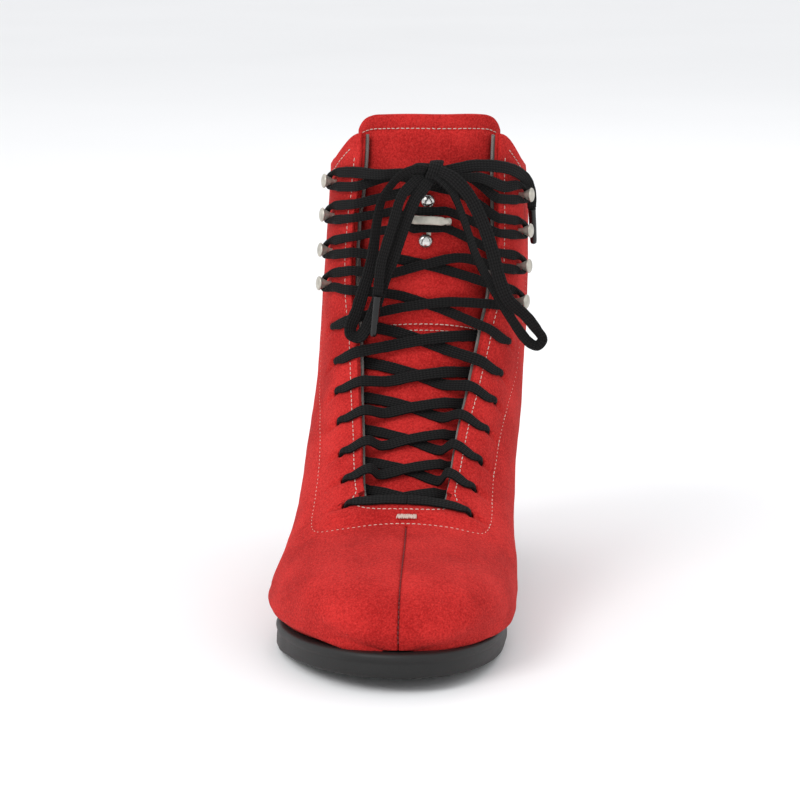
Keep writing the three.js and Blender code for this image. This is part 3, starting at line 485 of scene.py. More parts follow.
@dataclass(frozen=True)
class Seat:
    """A place on the last for something that stands on it."""

    girth: float
    degrees: float
    depth: float
    lean: float = 0.0

    def at(self, across: Array, along: Array, height: Array) -> Array:
        """Points given sideways, up the boot and outwards from the seat."""
        up, _, out = LAST.frame(self.girth, self.degrees)
        side = unit(np.cross(up, out))
        turn = math.radians(self.lean)
        way = np.array([math.copysign(1.0, side[0]), 0, 0]) @ side
        side, out = (side * math.cos(turn) - out * math.sin(turn) * way,
                     out * math.cos(turn) + side * math.sin(turn) * way)
        base = LAST.on(self.girth, self.degrees, self.depth)
        local = np.stack(np.broadcast_arrays(across, along, height), -1).astype(float)
        return base + local @ np.array([side, np.cross(out, side), out])


# ---------------------------------------------------------------- shader maths
@dataclass(frozen=True)
class Signal:
    """A number that varies over a surface: a shader socket that takes part in expressions."""

    recipe: "Recipe"
    socket: bpy.types.NodeSocket

    def _with(self, operation: str, first: "Signal | float", second: "Signal | float | None" = None) -> "Signal":
        """Adds a Math node that works on one or two values."""
        inputs = {0: first} if second is None else {0: first, 1: second}
        return self.recipe.node("ShaderNodeMath", {"operation": operation}, inputs)

    def __add__(self, other: "Signal | float") -> "Signal":
        """The sum."""
        return self._with("ADD", self, other)

    __radd__ = __add__

    def __sub__(self, other: "Signal | float") -> "Signal":
        """The difference."""
        return self._with("SUBTRACT", self, other)

    def __rsub__(self, other: "Signal | float") -> "Signal":
        """The difference, taken from a number."""
        return self._with("SUBTRACT", other, self)

    def __mul__(self, other: "Signal | float") -> "Signal":
        """The product."""
        return self._with("MULTIPLY", self, other)

    __rmul__ = __mul__

    def __pow__(self, other: float) -> "Signal":
        """The power."""
        return self._with("POWER", self, other)

    def __abs__(self) -> "Signal":
        """The size without its sign."""
        return self._with("ABSOLUTE", self)

    def sine(self) -> "Signal":
        """The sine."""
        return self._with("SINE", self)

    def between(self, low: float, high: float) -> "Signal":
        """Spreads the values from low to high over 0 to 1, and holds them there."""
        settings = {"interpolation_type": "SMOOTHSTEP"}
        return self.recipe.node("ShaderNodeMapRange", settings, {0: self, 1: low, 2: high})


class Recipe:
    """Builds one material's nodes around its Principled shader."""

    def __init__(self, name: str) -> None:
        """Starts an empty material.

        Args:
            name: the material's name.
        """
        self.material = bpy.data.materials.new(name)
        self.material.use_nodes = True
        self.tree = self.material.node_tree
        self.shader = next(n for n in self.tree.nodes if n.type == "BSDF_PRINCIPLED")

    def node(self, kind: str, settings: dict[str, object], inputs: dict[int | str, object],
             output: int | str = 0) -> Signal:
        """Adds a node.

        Args:
            kind: the node's type.
            settings: its options, which are set first.
            inputs: a value or a signal for each socket.
            output: which result to use.

        Returns:
            The result as a signal.
        """
        made = self.tree.nodes.new(kind)
        for key, value in settings.items():
            if key == "stops":
                ramp = made.color_ramp
                while len(ramp.elements) < len(value):
                    ramp.elements.new(0.5)
                for element, (place, colour) in zip(ramp.elements, value):
                    element.position, element.color = place, (*colour, 1)
            else:
                setattr(made, key, value)
        for key, value in inputs.items():
            if isinstance(value, Signal):
                self.tree.links.new(value.socket, made.inputs[key])
            else:
                made.inputs[key].default_value = value
        return Signal(self, made.outputs[output])

    def feed(self, socket: str, value: object) -> None:
        """Links a signal to the shader, or sets a constant on it."""
        if isinstance(value, Signal):
            self.tree.links.new(value.socket, self.shader.inputs[socket])
        else:
            self.shader.inputs[socket].default_value = value

    def place(self) -> Signal:
        """The place on the object, in metres."""
        return self.node("ShaderNodeTexCoord", {}, {}, "Object")

    def pattern(self) -> tuple[Signal, Signal]:
        """The place along a lace and across it, in millimetres."""
        flat = self.node("ShaderNodeUVMap", {"uv_map": "pattern"}, {})
        parts = self.node("ShaderNodeSeparateXYZ", {}, {0: flat})
        return parts, Signal(self, parts.socket.node.outputs[1])

    def noise(self, size: float, detail: float = 2.0, rough: float = 0.5,
              stretch: tuple[float, ...] = (1, 1, 1)) -> Signal:
        """An irregular value of about 0 to 1.

        Args:
            size: the size of its patches, in millimetres.
            detail: how much finer detail it has.
            rough: how strong that detail is.
            stretch: makes the patches shorter along an axis.

        Returns:
            The signal.
        """
        place = self.node("ShaderNodeMapping", {"vector_type": "POINT"}, {"Vector": self.place(), "Scale": stretch})
        values = {"Vector": place, "Scale": 1 / (size * METRE), "Detail": detail, "Roughness": rough}
        return self.node("ShaderNodeTexNoise", {}, values)

    def mix(self, share: Signal, low: Sequence[float], high: Sequence[float]) -> Signal:
        """Mixes two colours by a share."""
        return self.node("ShaderNodeMix", {"data_type": "RGBA"}, {0: share, 6: (*low, 1), 7: (*high, 1)}, 2)

    def tint(self, colour: Signal, share: Signal, by: Sequence[float]) -> Signal:
        """Mixes a varying colour with a plain one by a share."""
        return self.node("ShaderNodeMix", {"data_type": "RGBA"}, {0: share, 6: colour, 7: (*by, 1)}, 2)

    def bump(self, height: Signal, millimetres: float, strength: float = 1.0) -> None:
        """Raises the surface by a height signal times a distance."""
        values = {"Height": height, "Distance": millimetres * METRE, "Strength": strength}
        self.feed("Normal", self.node("ShaderNodeBump", {}, values, "Normal"))


class Finish:
    """A finish that can be laid on pieces. Its material is made on first use."""

    slot: str = ""

    def material(self) -> bpy.types.Material:
        """The finish's material, made once."""
        name = type(self).__name__ + "_" + str(abs(number_of(repr(self))))
        found = bpy.data.materials.get(name)
        if found is None:
            recipe = Recipe(name)
            self.mix_into(recipe)
            found = recipe.material
        return found

    def mix_into(self, recipe: Recipe) -> None:
        """Sets up the shader; each finish has its own."""
        raise NotImplementedError

    def lay_on(self, piece: bpy.types.Object) -> bpy.types.Object:
        """Gives the piece this finish.

        Args:
            piece: the object to dress.

        Returns:
            The same object.
        """
        piece.data.materials.clear()
        piece.data.materials.append(self.material())
        return piece

    def dress(self, piece: bpy.types.Object, body: Body, *nodes: str) -> None:
        """Lays the finish on a piece, hides the frame's nodes that it stands for, and lets it ride on a body.

        Args:
            piece: the piece.
            body: what it rides on.
            nodes: the frame's nodes that it stands for, if any.
        """
        self.lay_on(piece)
        if nodes:
            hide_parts(*nodes)
        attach(piece, body.value)


def number_of(text: str) -> int:
    """A short number for a text, the same on every run."""
    total = 7
    for letter in text:
        total = (total * 31 + ord(letter)) % 99991
    return total


@dataclass(frozen=True)
class Suede(Finish):
    """Red suede: a short nap that lies in soft patches, with a fine speckle of lighter fibres."""

    slot: str = "suede"
    deep: tuple[float, float, float] = (0.31, 0.0085, 0.0085)
    bright: tuple[float, float, float] = (0.63, 0.032, 0.029)
    fleck: tuple[float, float, float] = (0.8, 0.13, 0.105)

    def mix_into(self, recipe: Recipe) -> None:
        """Nap patches, speckle and a soft velvet sheen."""
        patches = recipe.noise(24, 3, 0.55)
        grain = recipe.noise(0.85, 3, 0.7)
        fibres = recipe.noise(0.35, 1, 0.5)
        share = (patches * 0.5 + grain * 0.9 - 0.2).between(0.25, 0.75)
        colour = recipe.mix(share, self.deep, self.bright)
        recipe.feed("Base Color", recipe.tint(colour, fibres.between(0.6, 0.85) * 0.45, self.fleck))
        recipe.feed("Roughness", 0.86 + grain * 0.12)
        recipe.feed("Sheen Weight", 0.1)
        recipe.feed("Sheen Roughness", 0.5)
        recipe.feed("Sheen Tint", (1.0, 0.3, 0.27, 1))
        recipe.feed("Specular IOR Level", 0.08)
        recipe.bump(grain + fibres * 0.5 + patches * 0.6, 0.45, 1.0)


@dataclass(frozen=True)
class Cloth(Finish):
    """A woven or knitted lining cloth."""

    slot: str = "lining"
    colour: tuple[float, float, float] = (0.2, 0.19, 0.175)
    thread: float = 0.7

    def mix_into(self, recipe: Recipe) -> None:
        """A plain weave of raised threads, with slightly uneven colour."""
        parts = recipe.node("ShaderNodeSeparateXYZ", {}, {0: recipe.place()})
        y, z = (Signal(recipe, parts.socket.node.outputs[k]) for k in (1, 2))
        rate = 2 * math.pi / (self.thread * METRE)
        weave = ((parts + y) * rate).sine() * ((z - y * 0.4) * rate).sine()
        uneven = recipe.noise(6, 3, 0.6)
        fluff = recipe.noise(0.5, 2, 0.6)
        dark = tuple(c * 0.55 for c in self.colour)
        light = tuple(min(c * 1.35, 1.0) for c in self.colour)
        share = (weave * 0.22 + uneven * 0.5 + fluff * 0.35).between(0.1, 0.85)
        recipe.feed("Base Color", recipe.mix(share, dark, light))
        recipe.feed("Roughness", 0.85 + fluff * 0.12)
        recipe.feed("Sheen Weight", 0.2)
        recipe.bump(weave * 0.5 + fluff * 0.4, 0.16)


@dataclass(frozen=True)
class Lacing(Finish):
    """Black flat lace, woven of cords that run along it with a fine plait over them."""

    slot: str = "lace"
    cords: float = 5.0

    def mix_into(self, recipe: Recipe) -> None:
        """Cords along the lace and a slanting plait, raised and slightly lighter."""
        along, across = recipe.pattern()
        cord = abs((across * (math.pi * self.cords)).sine())
        slant = abs((along * 2.1 + cord * 1.3).sine())
        fluff = recipe.noise(0.4, 2, 0.6)
        share = (cord * 0.4 + slant * 0.4 + fluff * 0.3).between(0.25, 1.0)
        recipe.feed("Base Color", recipe.mix(share, (0.0012, 0.0012, 0.0013), (0.0125, 0.0122, 0.012)))
        recipe.feed("Roughness", 0.72 + fluff * 0.2)
        recipe.feed("Sheen Weight", 0.02)
        recipe.feed("Specular IOR Level", 0.14)
        recipe.bump(cord * 0.7 + slant * 0.45 + fluff * 0.2, 0.35)


@dataclass(frozen=True)
class Thread(Finish):
    """Twisted sewing thread."""

    slot: str = "lace"
    colour: tuple[float, float, float] = (0.68, 0.52, 0.45)

    def mix_into(self, recipe: Recipe) -> None:
        """Slightly uneven thread with its twist."""
        twist = recipe.noise(0.25, 2, 0.6)
        wear = recipe.noise(9, 2, 0.5)
        dark = tuple(c * 0.6 for c in self.colour)
        recipe.feed("Base Color", recipe.mix((twist * 0.5 + wear * 0.6).between(0.25, 0.8), dark, self.colour))
        recipe.feed("Roughness", 0.6 + twist * 0.2)
        recipe.bump(twist, 0.08)


@dataclass(frozen=True)
class SoleRubber(Finish):
    """Black sole edge: satin, lightly brushed, a little glossier where it is rubbed."""

    slot: str = "sole_rubber"
    colour: tuple[float, float, float] = (0.012, 0.0117, 0.0112)
    gloss: float = 0.42

    def mix_into(self, recipe: Recipe) -> None:
        """Fine grain along the edge and faint rubbed patches."""
        rubbed = recipe.noise(14, 4, 0.6)
        grain = recipe.noise(0.6, 3, 0.65, (1, 1, 0.35))
        speck = recipe.noise(0.3, 1, 0.5)
        share = (rubbed * 0.6 + grain * 0.4).between(0.3, 0.75)
        dark = tuple(c * 0.62 for c in self.colour)
        recipe.feed("Base Color", recipe.mix(share, dark, self.colour))
        recipe.feed("Roughness", self.gloss + rubbed * 0.16 + speck * 0.06)
        recipe.feed("Specular IOR Level", 0.38)
        recipe.bump(grain * 0.6 + speck * 0.4, 0.07)


@dataclass(frozen=True)
class Metal(Finish):
    """Plated metal, dull in its hollows and polished on its edges."""

    slot: str = "nickel"
    colour: tuple[float, float, float] = (0.56, 0.53, 0.46)
    gloss: float = 0.3
    metallic: float = 0.5

    def mix_into(self, recipe: Recipe) -> None:
        """Soft tarnish and faint scratches."""
        tarnish = recipe.noise(3.2, 3, 0.5)
        scratch = recipe.noise(0.5, 2, 0.5, (0.2, 1, 1))
        dark = tuple(c * 0.72 for c in self.colour)
        recipe.feed("Base Color", recipe.mix(tarnish.between(0.3, 0.65), dark, self.colour))
        recipe.feed("Metallic", self.metallic)
        recipe.feed("Roughness", self.gloss + tarnish * 0.2)
        recipe.bump(scratch, 0.02)


@dataclass(frozen=True)
class Board(Finish):
    """Pressed fibreboard."""

    slot: str = "board"
    colour: tuple[float, float, float] = (0.43, 0.27, 0.12)

    def mix_into(self, recipe: Recipe) -> None:
        """Fibres in two tones."""
        fibres = recipe.noise(1.2, 4, 0.7, (1, 0.3, 1))
        dark = tuple(c * 0.5 for c in self.colour)
        recipe.feed("Base Color", recipe.mix(fibres.between(0.3, 0.7), dark, self.colour))
        recipe.feed("Roughness", 0.78 + fibres * 0.15)
        recipe.bump(fibres, 0.1)


@dataclass(frozen=True)
class Aglet(Finish):
    """Shrunk black plastic over the lace's end."""

    slot: str = "aglet"

    def mix_into(self, recipe: Recipe) -> None:
        """Gloss with the lace's threads showing through as faint ridges."""
        ridges = recipe.noise(0.7, 2, 0.6)
        recipe.feed("Base Color", recipe.mix(ridges.between(0.35, 0.65), (0.003, 0.003, 0.003), (0.01, 0.01, 0.01)))
        recipe.feed("Roughness", 0.14 + ridges * 0.16)
        recipe.feed("Specular IOR Level", 0.3)
        recipe.feed("Coat Weight", 0.15)
        recipe.bump(ridges, 0.06)


@dataclass(frozen=True)
class Floor(Finish):
    """A pale studio floor."""

    slot: str = ""

    def mix_into(self, recipe: Recipe) -> None:
        """Nearly white, with the faintest mottle."""
        mottle = recipe.noise(400, 2, 0.5)
        recipe.feed("Base Color", recipe.mix(mottle, (0.86, 0.86, 0.86), (0.9, 0.9, 0.9)))
        recipe.feed("Roughness", 0.9)
        recipe.feed("Specular IOR Level", 0.1)


SUEDE = Suede()
GREY_CLOTH = Cloth()
DARK_CLOTH = Cloth("footbed_fabric", (0.14, 0.135, 0.13), 1.1)
FOAM = Cloth("foam", (0.7, 0.68, 0.6), 0.9)
LACING = Lacing()
CREAM_THREAD = Thread()
RED_THREAD = Thread("suede", (0.2, 0.02, 0.02))
SOLE = SoleRubber()
HEEL = SoleRubber("heel_plastic", (0.026, 0.026, 0.025), 0.3)
NICKEL = Metal()
BRIGHT_NICKEL = Metal("nickel", (0.74, 0.73, 0.7), 0.12, 0.95)
STEEL = Metal("shank_steel", (0.5, 0.51, 0.53), 0.34)
BOARD = Board()
AGLET = Aglet()
FLOOR = Floor()


# ---------------------------------------------------------------- leather pieces
@dataclass
class Sewing:
    """Collects rows of stitches and makes them as one piece."""

    name: str
    finish: Finish
    length: float = 1.7
    pitch: float = 2.3
    radius: float = 0.21
    sides: int = 6
    seed: int = 3
    points: list[Array] = field(default_factory=list)
    faces: list[Array] = field(default_factory=list)
    count: int = 0
    caps: list[list[int]] = field(default_factory=list)

    def row(self, path: Array, out: Array) -> None:
        """Sews along a path.

        Args:
            path: points on the surface, in order.
            out: the outward direction at each point.
        """
        rng = np.random.default_rng(self.seed + self.count)
        run = np.concatenate([[0], np.cumsum(np.linalg.norm(np.diff(path, axis=0), axis=1))])
        centres = np.arange(self.pitch / 2, run[-1], self.pitch)
        if not len(centres):
            return
        middle = np.stack([np.interp(centres, run, path[:, k]) for k in range(3)], 1)
        ahead = np.stack([np.interp(centres + 0.6, run, path[:, k]) for k in range(3)], 1)
        behind = np.stack([np.interp(centres - 0.6, run, path[:, k]) for k in range(3)], 1)
        normal = unit(np.stack([np.interp(centres, run, out[:, k]) for k in range(3)], 1))
        along = unit(ahead - behind)
        side = unit(np.cross(along, normal))
        along = unit(along + side * rng.normal(0, 0.09, (len(along), 1)))
        side = np.cross(along, normal)
        stretch = rng.uniform(0.88, 1.06, (len(along), 1))
        shape = ((-0.5, 0.3, -0.9), (-0.42, 0.85, -0.1), (-0.15, 1.0, 0.35), (0.15, 1.0, 0.35), (0.42, 0.85, -0.1),
                 (0.5, 0.3, -0.9))
        turn = circle(self.sides)
        rings = []
        for place, width, lift in shape:
            base = middle + along * (place * self.length) * stretch + normal * (lift * self.radius)
            ring = (base[:, None] + side[:, None] * (np.cos(turn) * width * self.radius)[None, :, None]
                    + normal[:, None] * (np.sin(turn) * width * self.radius)[None, :, None])
            rings.append(ring)
        block = np.stack(rings, 1)
        stitches, ring_count = block.shape[:2]
        one = grid_faces(ring_count, self.sides, around=True)
        per = ring_count * self.sides
        start = self.count * per
        for k in range(stitches):
            self.faces.append(one + start + k * per)
        self.points.append(block.reshape(-1, 3))
        self.caps += [
            [start + k * per + j for j in order]
            for k in range(stitches)
            for order in (range(self.sides - 1, -1, -1), range(per - self.sides, per))]
        self.count += stitches

    def make(self, body: Body = Body.BOOT) -> bpy.types.Object:
        """Makes the piece and lets it ride on a body."""
        faces = np.concatenate(self.faces).tolist() + self.caps
        piece = new_piece(self.name, np.concatenate(self.points), faces)
        self.finish.dress(piece, body)
        LOG.info("made %s", self.name)
        return piece


def edge_share(count: int) -> Array:
    """How much each of a row of points belongs to the sheet's rounded edge: 1 at both ends."""
    share = np.zeros(count)
    share[[0, -1]] = 1
    share[[1, -2]] = 0.3
    return share


Place = Callable[[Array, Array], tuple[Array, Array]]
Depth = Callable[[Array, Array], Array]


@dataclass(frozen=True)
class Patch:
    """A sheet that follows the last between an outer and an inner depth."""

    rows: Array
    columns: Array
    place: Place
    outer: float | Depth
    thickness: float
    edge: float = 0.3
    wave: float = 0.0
    holes: tuple[Hole, ...] = ()

    def depth(self, girth: Array, degrees: Array) -> Array:
        """The depth of the outer face."""
        if callable(self.outer):
            return self.outer(girth, degrees)
        return np.full(np.shape(girth), float(self.outer))

    def make(self, name: str, finish: Finish, nodes: Sequence[str], body: Body = Body.BOOT) -> bpy.types.Object:
        """Makes the piece.

        Args:
            name: its name.
            finish: what it is made of.
            nodes: the frame's nodes that it stands for.
            body: what it rides on.

        Returns:
            The new object.
        """
        first, second = np.meshgrid(self.rows, self.columns, indexing="ij")
        girth, degrees = self.place(first, second)
        depth = self.depth(first, second)
        rounding = np.maximum(edge_share(len(self.rows))[:, None], edge_share(len(self.columns))[None, :]) * self.edge
        base = LAST.point(girth, degrees)
        out = LAST.frame(girth, degrees)[2]
        if self.wave:
            depth = depth + self.wave * surface_wave(base)
        for hole in self.holes:
            depth = depth - pulled_in(base, hole)
        outer = base + out * (depth - rounding)[..., None]
        inner = base + out * (depth - self.thickness + np.minimum(rounding, self.thickness * 0.4))[..., None]
        piece = leather(name, outer, inner, self.holes)
        finish.dress(piece, body, *nodes)
        LOG.info("made %s", name)
        return piece


def pulled_in(points: Array, hole: Hole) -> Array:
    """How far the lace pulls the leather in round a hole, in a dent that runs out away from the opening."""
    away = points - hole.centre
    away = away - (away @ hole.out)[..., None] * hole.out
    outwards = unit(np.array([math.copysign(1.0, hole.centre[0]), 0, -0.5]) * 1.0)
    outwards = unit(outwards - outwards @ hole.out * hole.out)
    a = away @ outwards
    b = away @ np.cross(hole.out, outwards)
    return 1.45 * np.exp(-((a - 2.2) / 5.0) ** 2 - (b / 1.5) ** 2)


def lace_holes(side: Side, radius: float) -> tuple[Hole, ...]:
    """The seven holes of one side, a little wider than the squeezed lace."""
    found = []
    for row in range(7):
        girth = LAST.column_girth(row, side.value)
        degrees = float(LAST.angle_at(girth, side.value * LAST.column_half(row)))
        out = LAST.frame(girth, degrees)[2]
        found.append(Hole(LAST.on(girth, degrees, 0.0), out, radius))
    return tuple(found)


@dataclass(frozen=True)
class Upper:
    """The suede upper: two halves sewn at the toe and the back, the lace stay and the backstay."""

    suede: float = 1.8
    stay: float = 1.5
    stay_top: float = 2.0
    skive: float = 0.25
    throat: float = 6.95
    lasting: float = 152.0
    seam: float = 0.15
    hole: float = 1.9
    fullness: dict[Side, float] = field(default_factory=lambda: {Side.MEDIAL: 3.2, Side.LATERAL: 0.9})
    fullest: dict[Side, float] = field(default_factory=lambda: {Side.MEDIAL: 101.0, Side.LATERAL: 108.0})
    stay_places: int = 14
    inner_girth: Track = track([6.9, 6.91, 6.98, 7.15, 7.5, 8, 9, 10, 11, 12, 13, 14, 15, 16, 18])
    outer_girth: Track = track([6.12, 6.12, 6.14, 6.25, 6.6, 7.3, 8.7, 9.9, 11, 12, 13, 14, 15, 16, 18])
    outer_angle: Track = track([0, 14.5, 28, 40, 47, 50.5, 54, 58, 64, 70, 75, 79, 82, 83, 84])
    collar_seam: float = 0.32
    front_seam: float = 0.3
    backstay_half: Track = track([20, 13, 10, 9.5, 9.5, 9.5, 11])
    inner_angle: Track = track([0, 8, 14.5, 19, 21.5])

    def lower_edge(self, girth: Array) -> Array:
        """The angle where the suede ends: turned under the foot, then at the back seam."""
        seam = 180 - np.degrees(self.seam / LAST.curves[5](girth))
        share = smooth(girth, 11.3, 12.4)
        return self.lasting + (seam - self.lasting) * share

    def half(self, side: Side) -> None:
        """Makes one suede half from the toe seam to the back seam."""
        sign = side.value

        def place(girth: Array, share: Array) -> tuple[Array, Array]:
            """From the toe seam or lace opening round to the lower edge."""
            behind = 0.4 + 2.5 * np.exp(-np.abs(girth - self.throat) / 0.25)
            front = np.where(girth < self.throat, LAST.angle_at(girth, np.full_like(girth, sign * self.seam)),
                             sign * (LAST.opening_angle(girth) + behind))
            degrees = front + (sign * self.lower_edge(girth) - front) * share
            return LAST.to_collar(girth, degrees), degrees

        def depth(girth: Array, share: Array) -> Array:
            """How full the suede is, and how far it dips at its seams."""
            seam = np.where(girth < self.throat, np.exp(-share / 0.008), 0.0)
            back = np.where(girth > 12, np.exp(-(1 - share) / 0.01), 0.0)
            degrees = np.abs(place(girth, share)[1])
            fullness = self.fullness[side] * np.exp(-((degrees - self.fullest[side]) / 12) ** 2)
            fullness = fullness * (1 - smooth(girth, 6.5, 10.5))
            fullness = fullness + 2.6 * np.exp(-((degrees - 119) / 10) ** 2) * (1 - smooth(girth, 7, 10))
            return fullness - 0.75 * seam - 0.5 * back

        rows = np.concatenate([spread(0, self.throat - 0.01, 96, 0.03), spread(self.throat, COLLAR, 150, 0.03)])
        columns = spread(0, 1, 128, 0.004)
        Patch(rows, columns, place, depth, self.suede, 0.45, 0.22, lace_holes(side, self.hole + 0.4)).make(
            f"suede_half_{side.label}", SUEDE, [f"upper_{side.label}"])

    def stay_place(self, place: Array, share: Array) -> tuple[Array, Array]:
        """The girth and angle of a place on the U-shaped stay."""
        sign, p = np.where(place < 0, -1, 1), np.abs(place)
        girth_in, girth_out = self.inner_girth(p), self.outer_girth(p)
        angle_in = np.where(p < 4, self.inner_angle(np.minimum(p, 4)), LAST.opening_angle(girth_in))
        degrees = angle_in + (self.outer_angle(p) - angle_in) * share
        girth = girth_in + (girth_out - girth_in) * share
        return LAST.to_collar(girth, degrees), sign * degrees

    def stay_depth(self, place: Array, share: Array) -> Array:
        """Full height at the opening's edge, thinned to nothing at the outer edge."""
        return self.stay_top - (self.stay_top + self.skive) * smooth(share, 0.35, 1.0)

    def lace_stay(self) -> None:
        """Makes the stay that carries the holes and hooks."""
        holes = lace_holes(Side.MEDIAL, self.hole) + lace_holes(Side.LATERAL, self.hole)
        rows = spread(-self.stay_places, self.stay_places, 400, 0.03)
        Patch(rows, spread(0, 1, 30, 0.012), self.stay_place, self.stay_depth, self.stay, 0.35, 0.22, holes).make(
            "lace_stay_suede", SUEDE, ["lace_stay"])

    def stay_line(self, distance: float, from_outside: bool) -> tuple[Array, Array]:
        """A line at a distance inside the stay's inner or outer edge.

        Args:
            distance: how far from the edge.
            from_outside: whether it is the outer edge.

        Returns:
            The line's points and outward directions.
        """
        places = np.linspace(-self.stay_places + 0.25, self.stay_places - 0.25, 600)
        shares = np.linspace(0, 1, 24)
        p, s = np.meshgrid(places, shares, indexing="ij")
        cross = LAST.point(*self.stay_place(p, s))
        steps = np.linalg.norm(np.diff(cross, axis=1), axis=2)
        run = np.concatenate([np.zeros((len(places), 1)), np.cumsum(steps, 1)], 1)
        wanted = run[:, -1] - distance if from_outside else np.full(len(places), distance)
        share = np.array([np.interp(w, r, shares) for w, r in zip(wanted, run)])
        girth, degrees = self.stay_place(places, share)
        window = np.hanning(27)
        window /= window.sum()
        girth, degrees = (np.concatenate([v[:13], np.convolve(v, window, "valid"), v[-13:]]) for v in (girth, degrees))
        depth = self.stay_depth(places, share) + WAVE * surface_wave(LAST.point(girth, degrees))
        return LAST.on(girth, degrees, depth), LAST.frame(girth, degrees)[2]

    def backstay(self) -> None:
        """Makes the strip over the back seam."""

        def place(girth: Array, share: Array) -> tuple[Array, Array]:
            """Across the strip, from one edge to the other."""
            degrees = 180 + self.backstay_half(girth - 12) * share
            return LAST.to_collar(girth, np.full_like(degrees, 180.0)), past_back(degrees)

        Patch(spread(12.2, COLLAR, 90, 0.04), spread(-1, 1, 22, 0.05), place, self.stay_top, self.stay, 0.4, 0.1).make(
            "backstay_suede", SUEDE, ["backstay"])

    def sew(self) -> None:
        """Sews every seam of the upper."""
        cream = Sewing("stitching_cream", CREAM_THREAD)
        cream.row(*self.stay_line(3.4, False))
        cream.row(*self.stay_line(1.3, True))
        for side in Side:
            degrees = side.value * np.linspace(86, 170, 220)
            girth = LAST.to_collar(np.full_like(degrees, COLLAR - self.collar_seam), degrees)
            cream.row(LAST.on(girth, degrees, WAVE * surface_wave(LAST.point(girth, degrees)) + 0.08),
                      LAST.frame(girth, degrees)[2])
            start = float(LAST.opening_angle(np.array(COLLAR)))
            across = np.linspace(0.17, 1.0, 120)
            front = side.value * (start + (84 - start) * across)
            girth = LAST.to_collar(np.full_like(front, COLLAR - self.front_seam), front)
            depth = self.stay_depth(across, across) + WAVE * surface_wave(LAST.point(girth, front)) + 0.06
            cream.row(LAST.on(girth, front, depth), LAST.frame(girth, front)[2])
            girth = np.linspace(12.5, 17.8, 200)
            half = self.backstay_half(girth - 12) - 2.6
            back = np.where(side.value > 0, 180 - half, -(180 - half))
            girth = LAST.to_collar(girth, np.full_like(girth, 180.0))
            cream.row(LAST.on(girth, back, self.stay_top * np.ones_like(girth) + 0.05), LAST.frame(girth, back)[2])
        cream.make()
        toe = Sewing("stitching_toe_seam", RED_THREAD, length=1.5, pitch=2.1, radius=0.24)
        girth = np.linspace(0.35, 6.08, 200)
        degrees = np.full_like(girth, 0.0)
        toe.row(LAST.on(girth, degrees, -0.35 * np.ones_like(girth)), LAST.frame(girth, degrees)[2])
        toe.make()

    def bartack(self) -> None:
        """Works a plain bar of thread over the foot of the lace opening, where the seam pulls hardest."""
        height = 3.0
        tack = Sewing("bartack_thread", CREAM_THREAD, length=height, pitch=height, radius=0.25)
        for sideways in np.linspace(-2.4, 5.4, 18):
            girth = 6.42 + np.linspace(-0.12, 0.12, 5)
            degrees = LAST.angle_at(girth, np.full(5, sideways - 1.5))
            path = LAST.on(girth, degrees, np.full(5, 1.75))
            tack.row(path, LAST.frame(girth, degrees)[2])
        tack.make()

    def build(self) -> None:
        """Makes the whole upper."""
        for side in Side:
            self.half(side)
        self.lace_stay()
        self.backstay()
        self.sew()
        self.bartack()


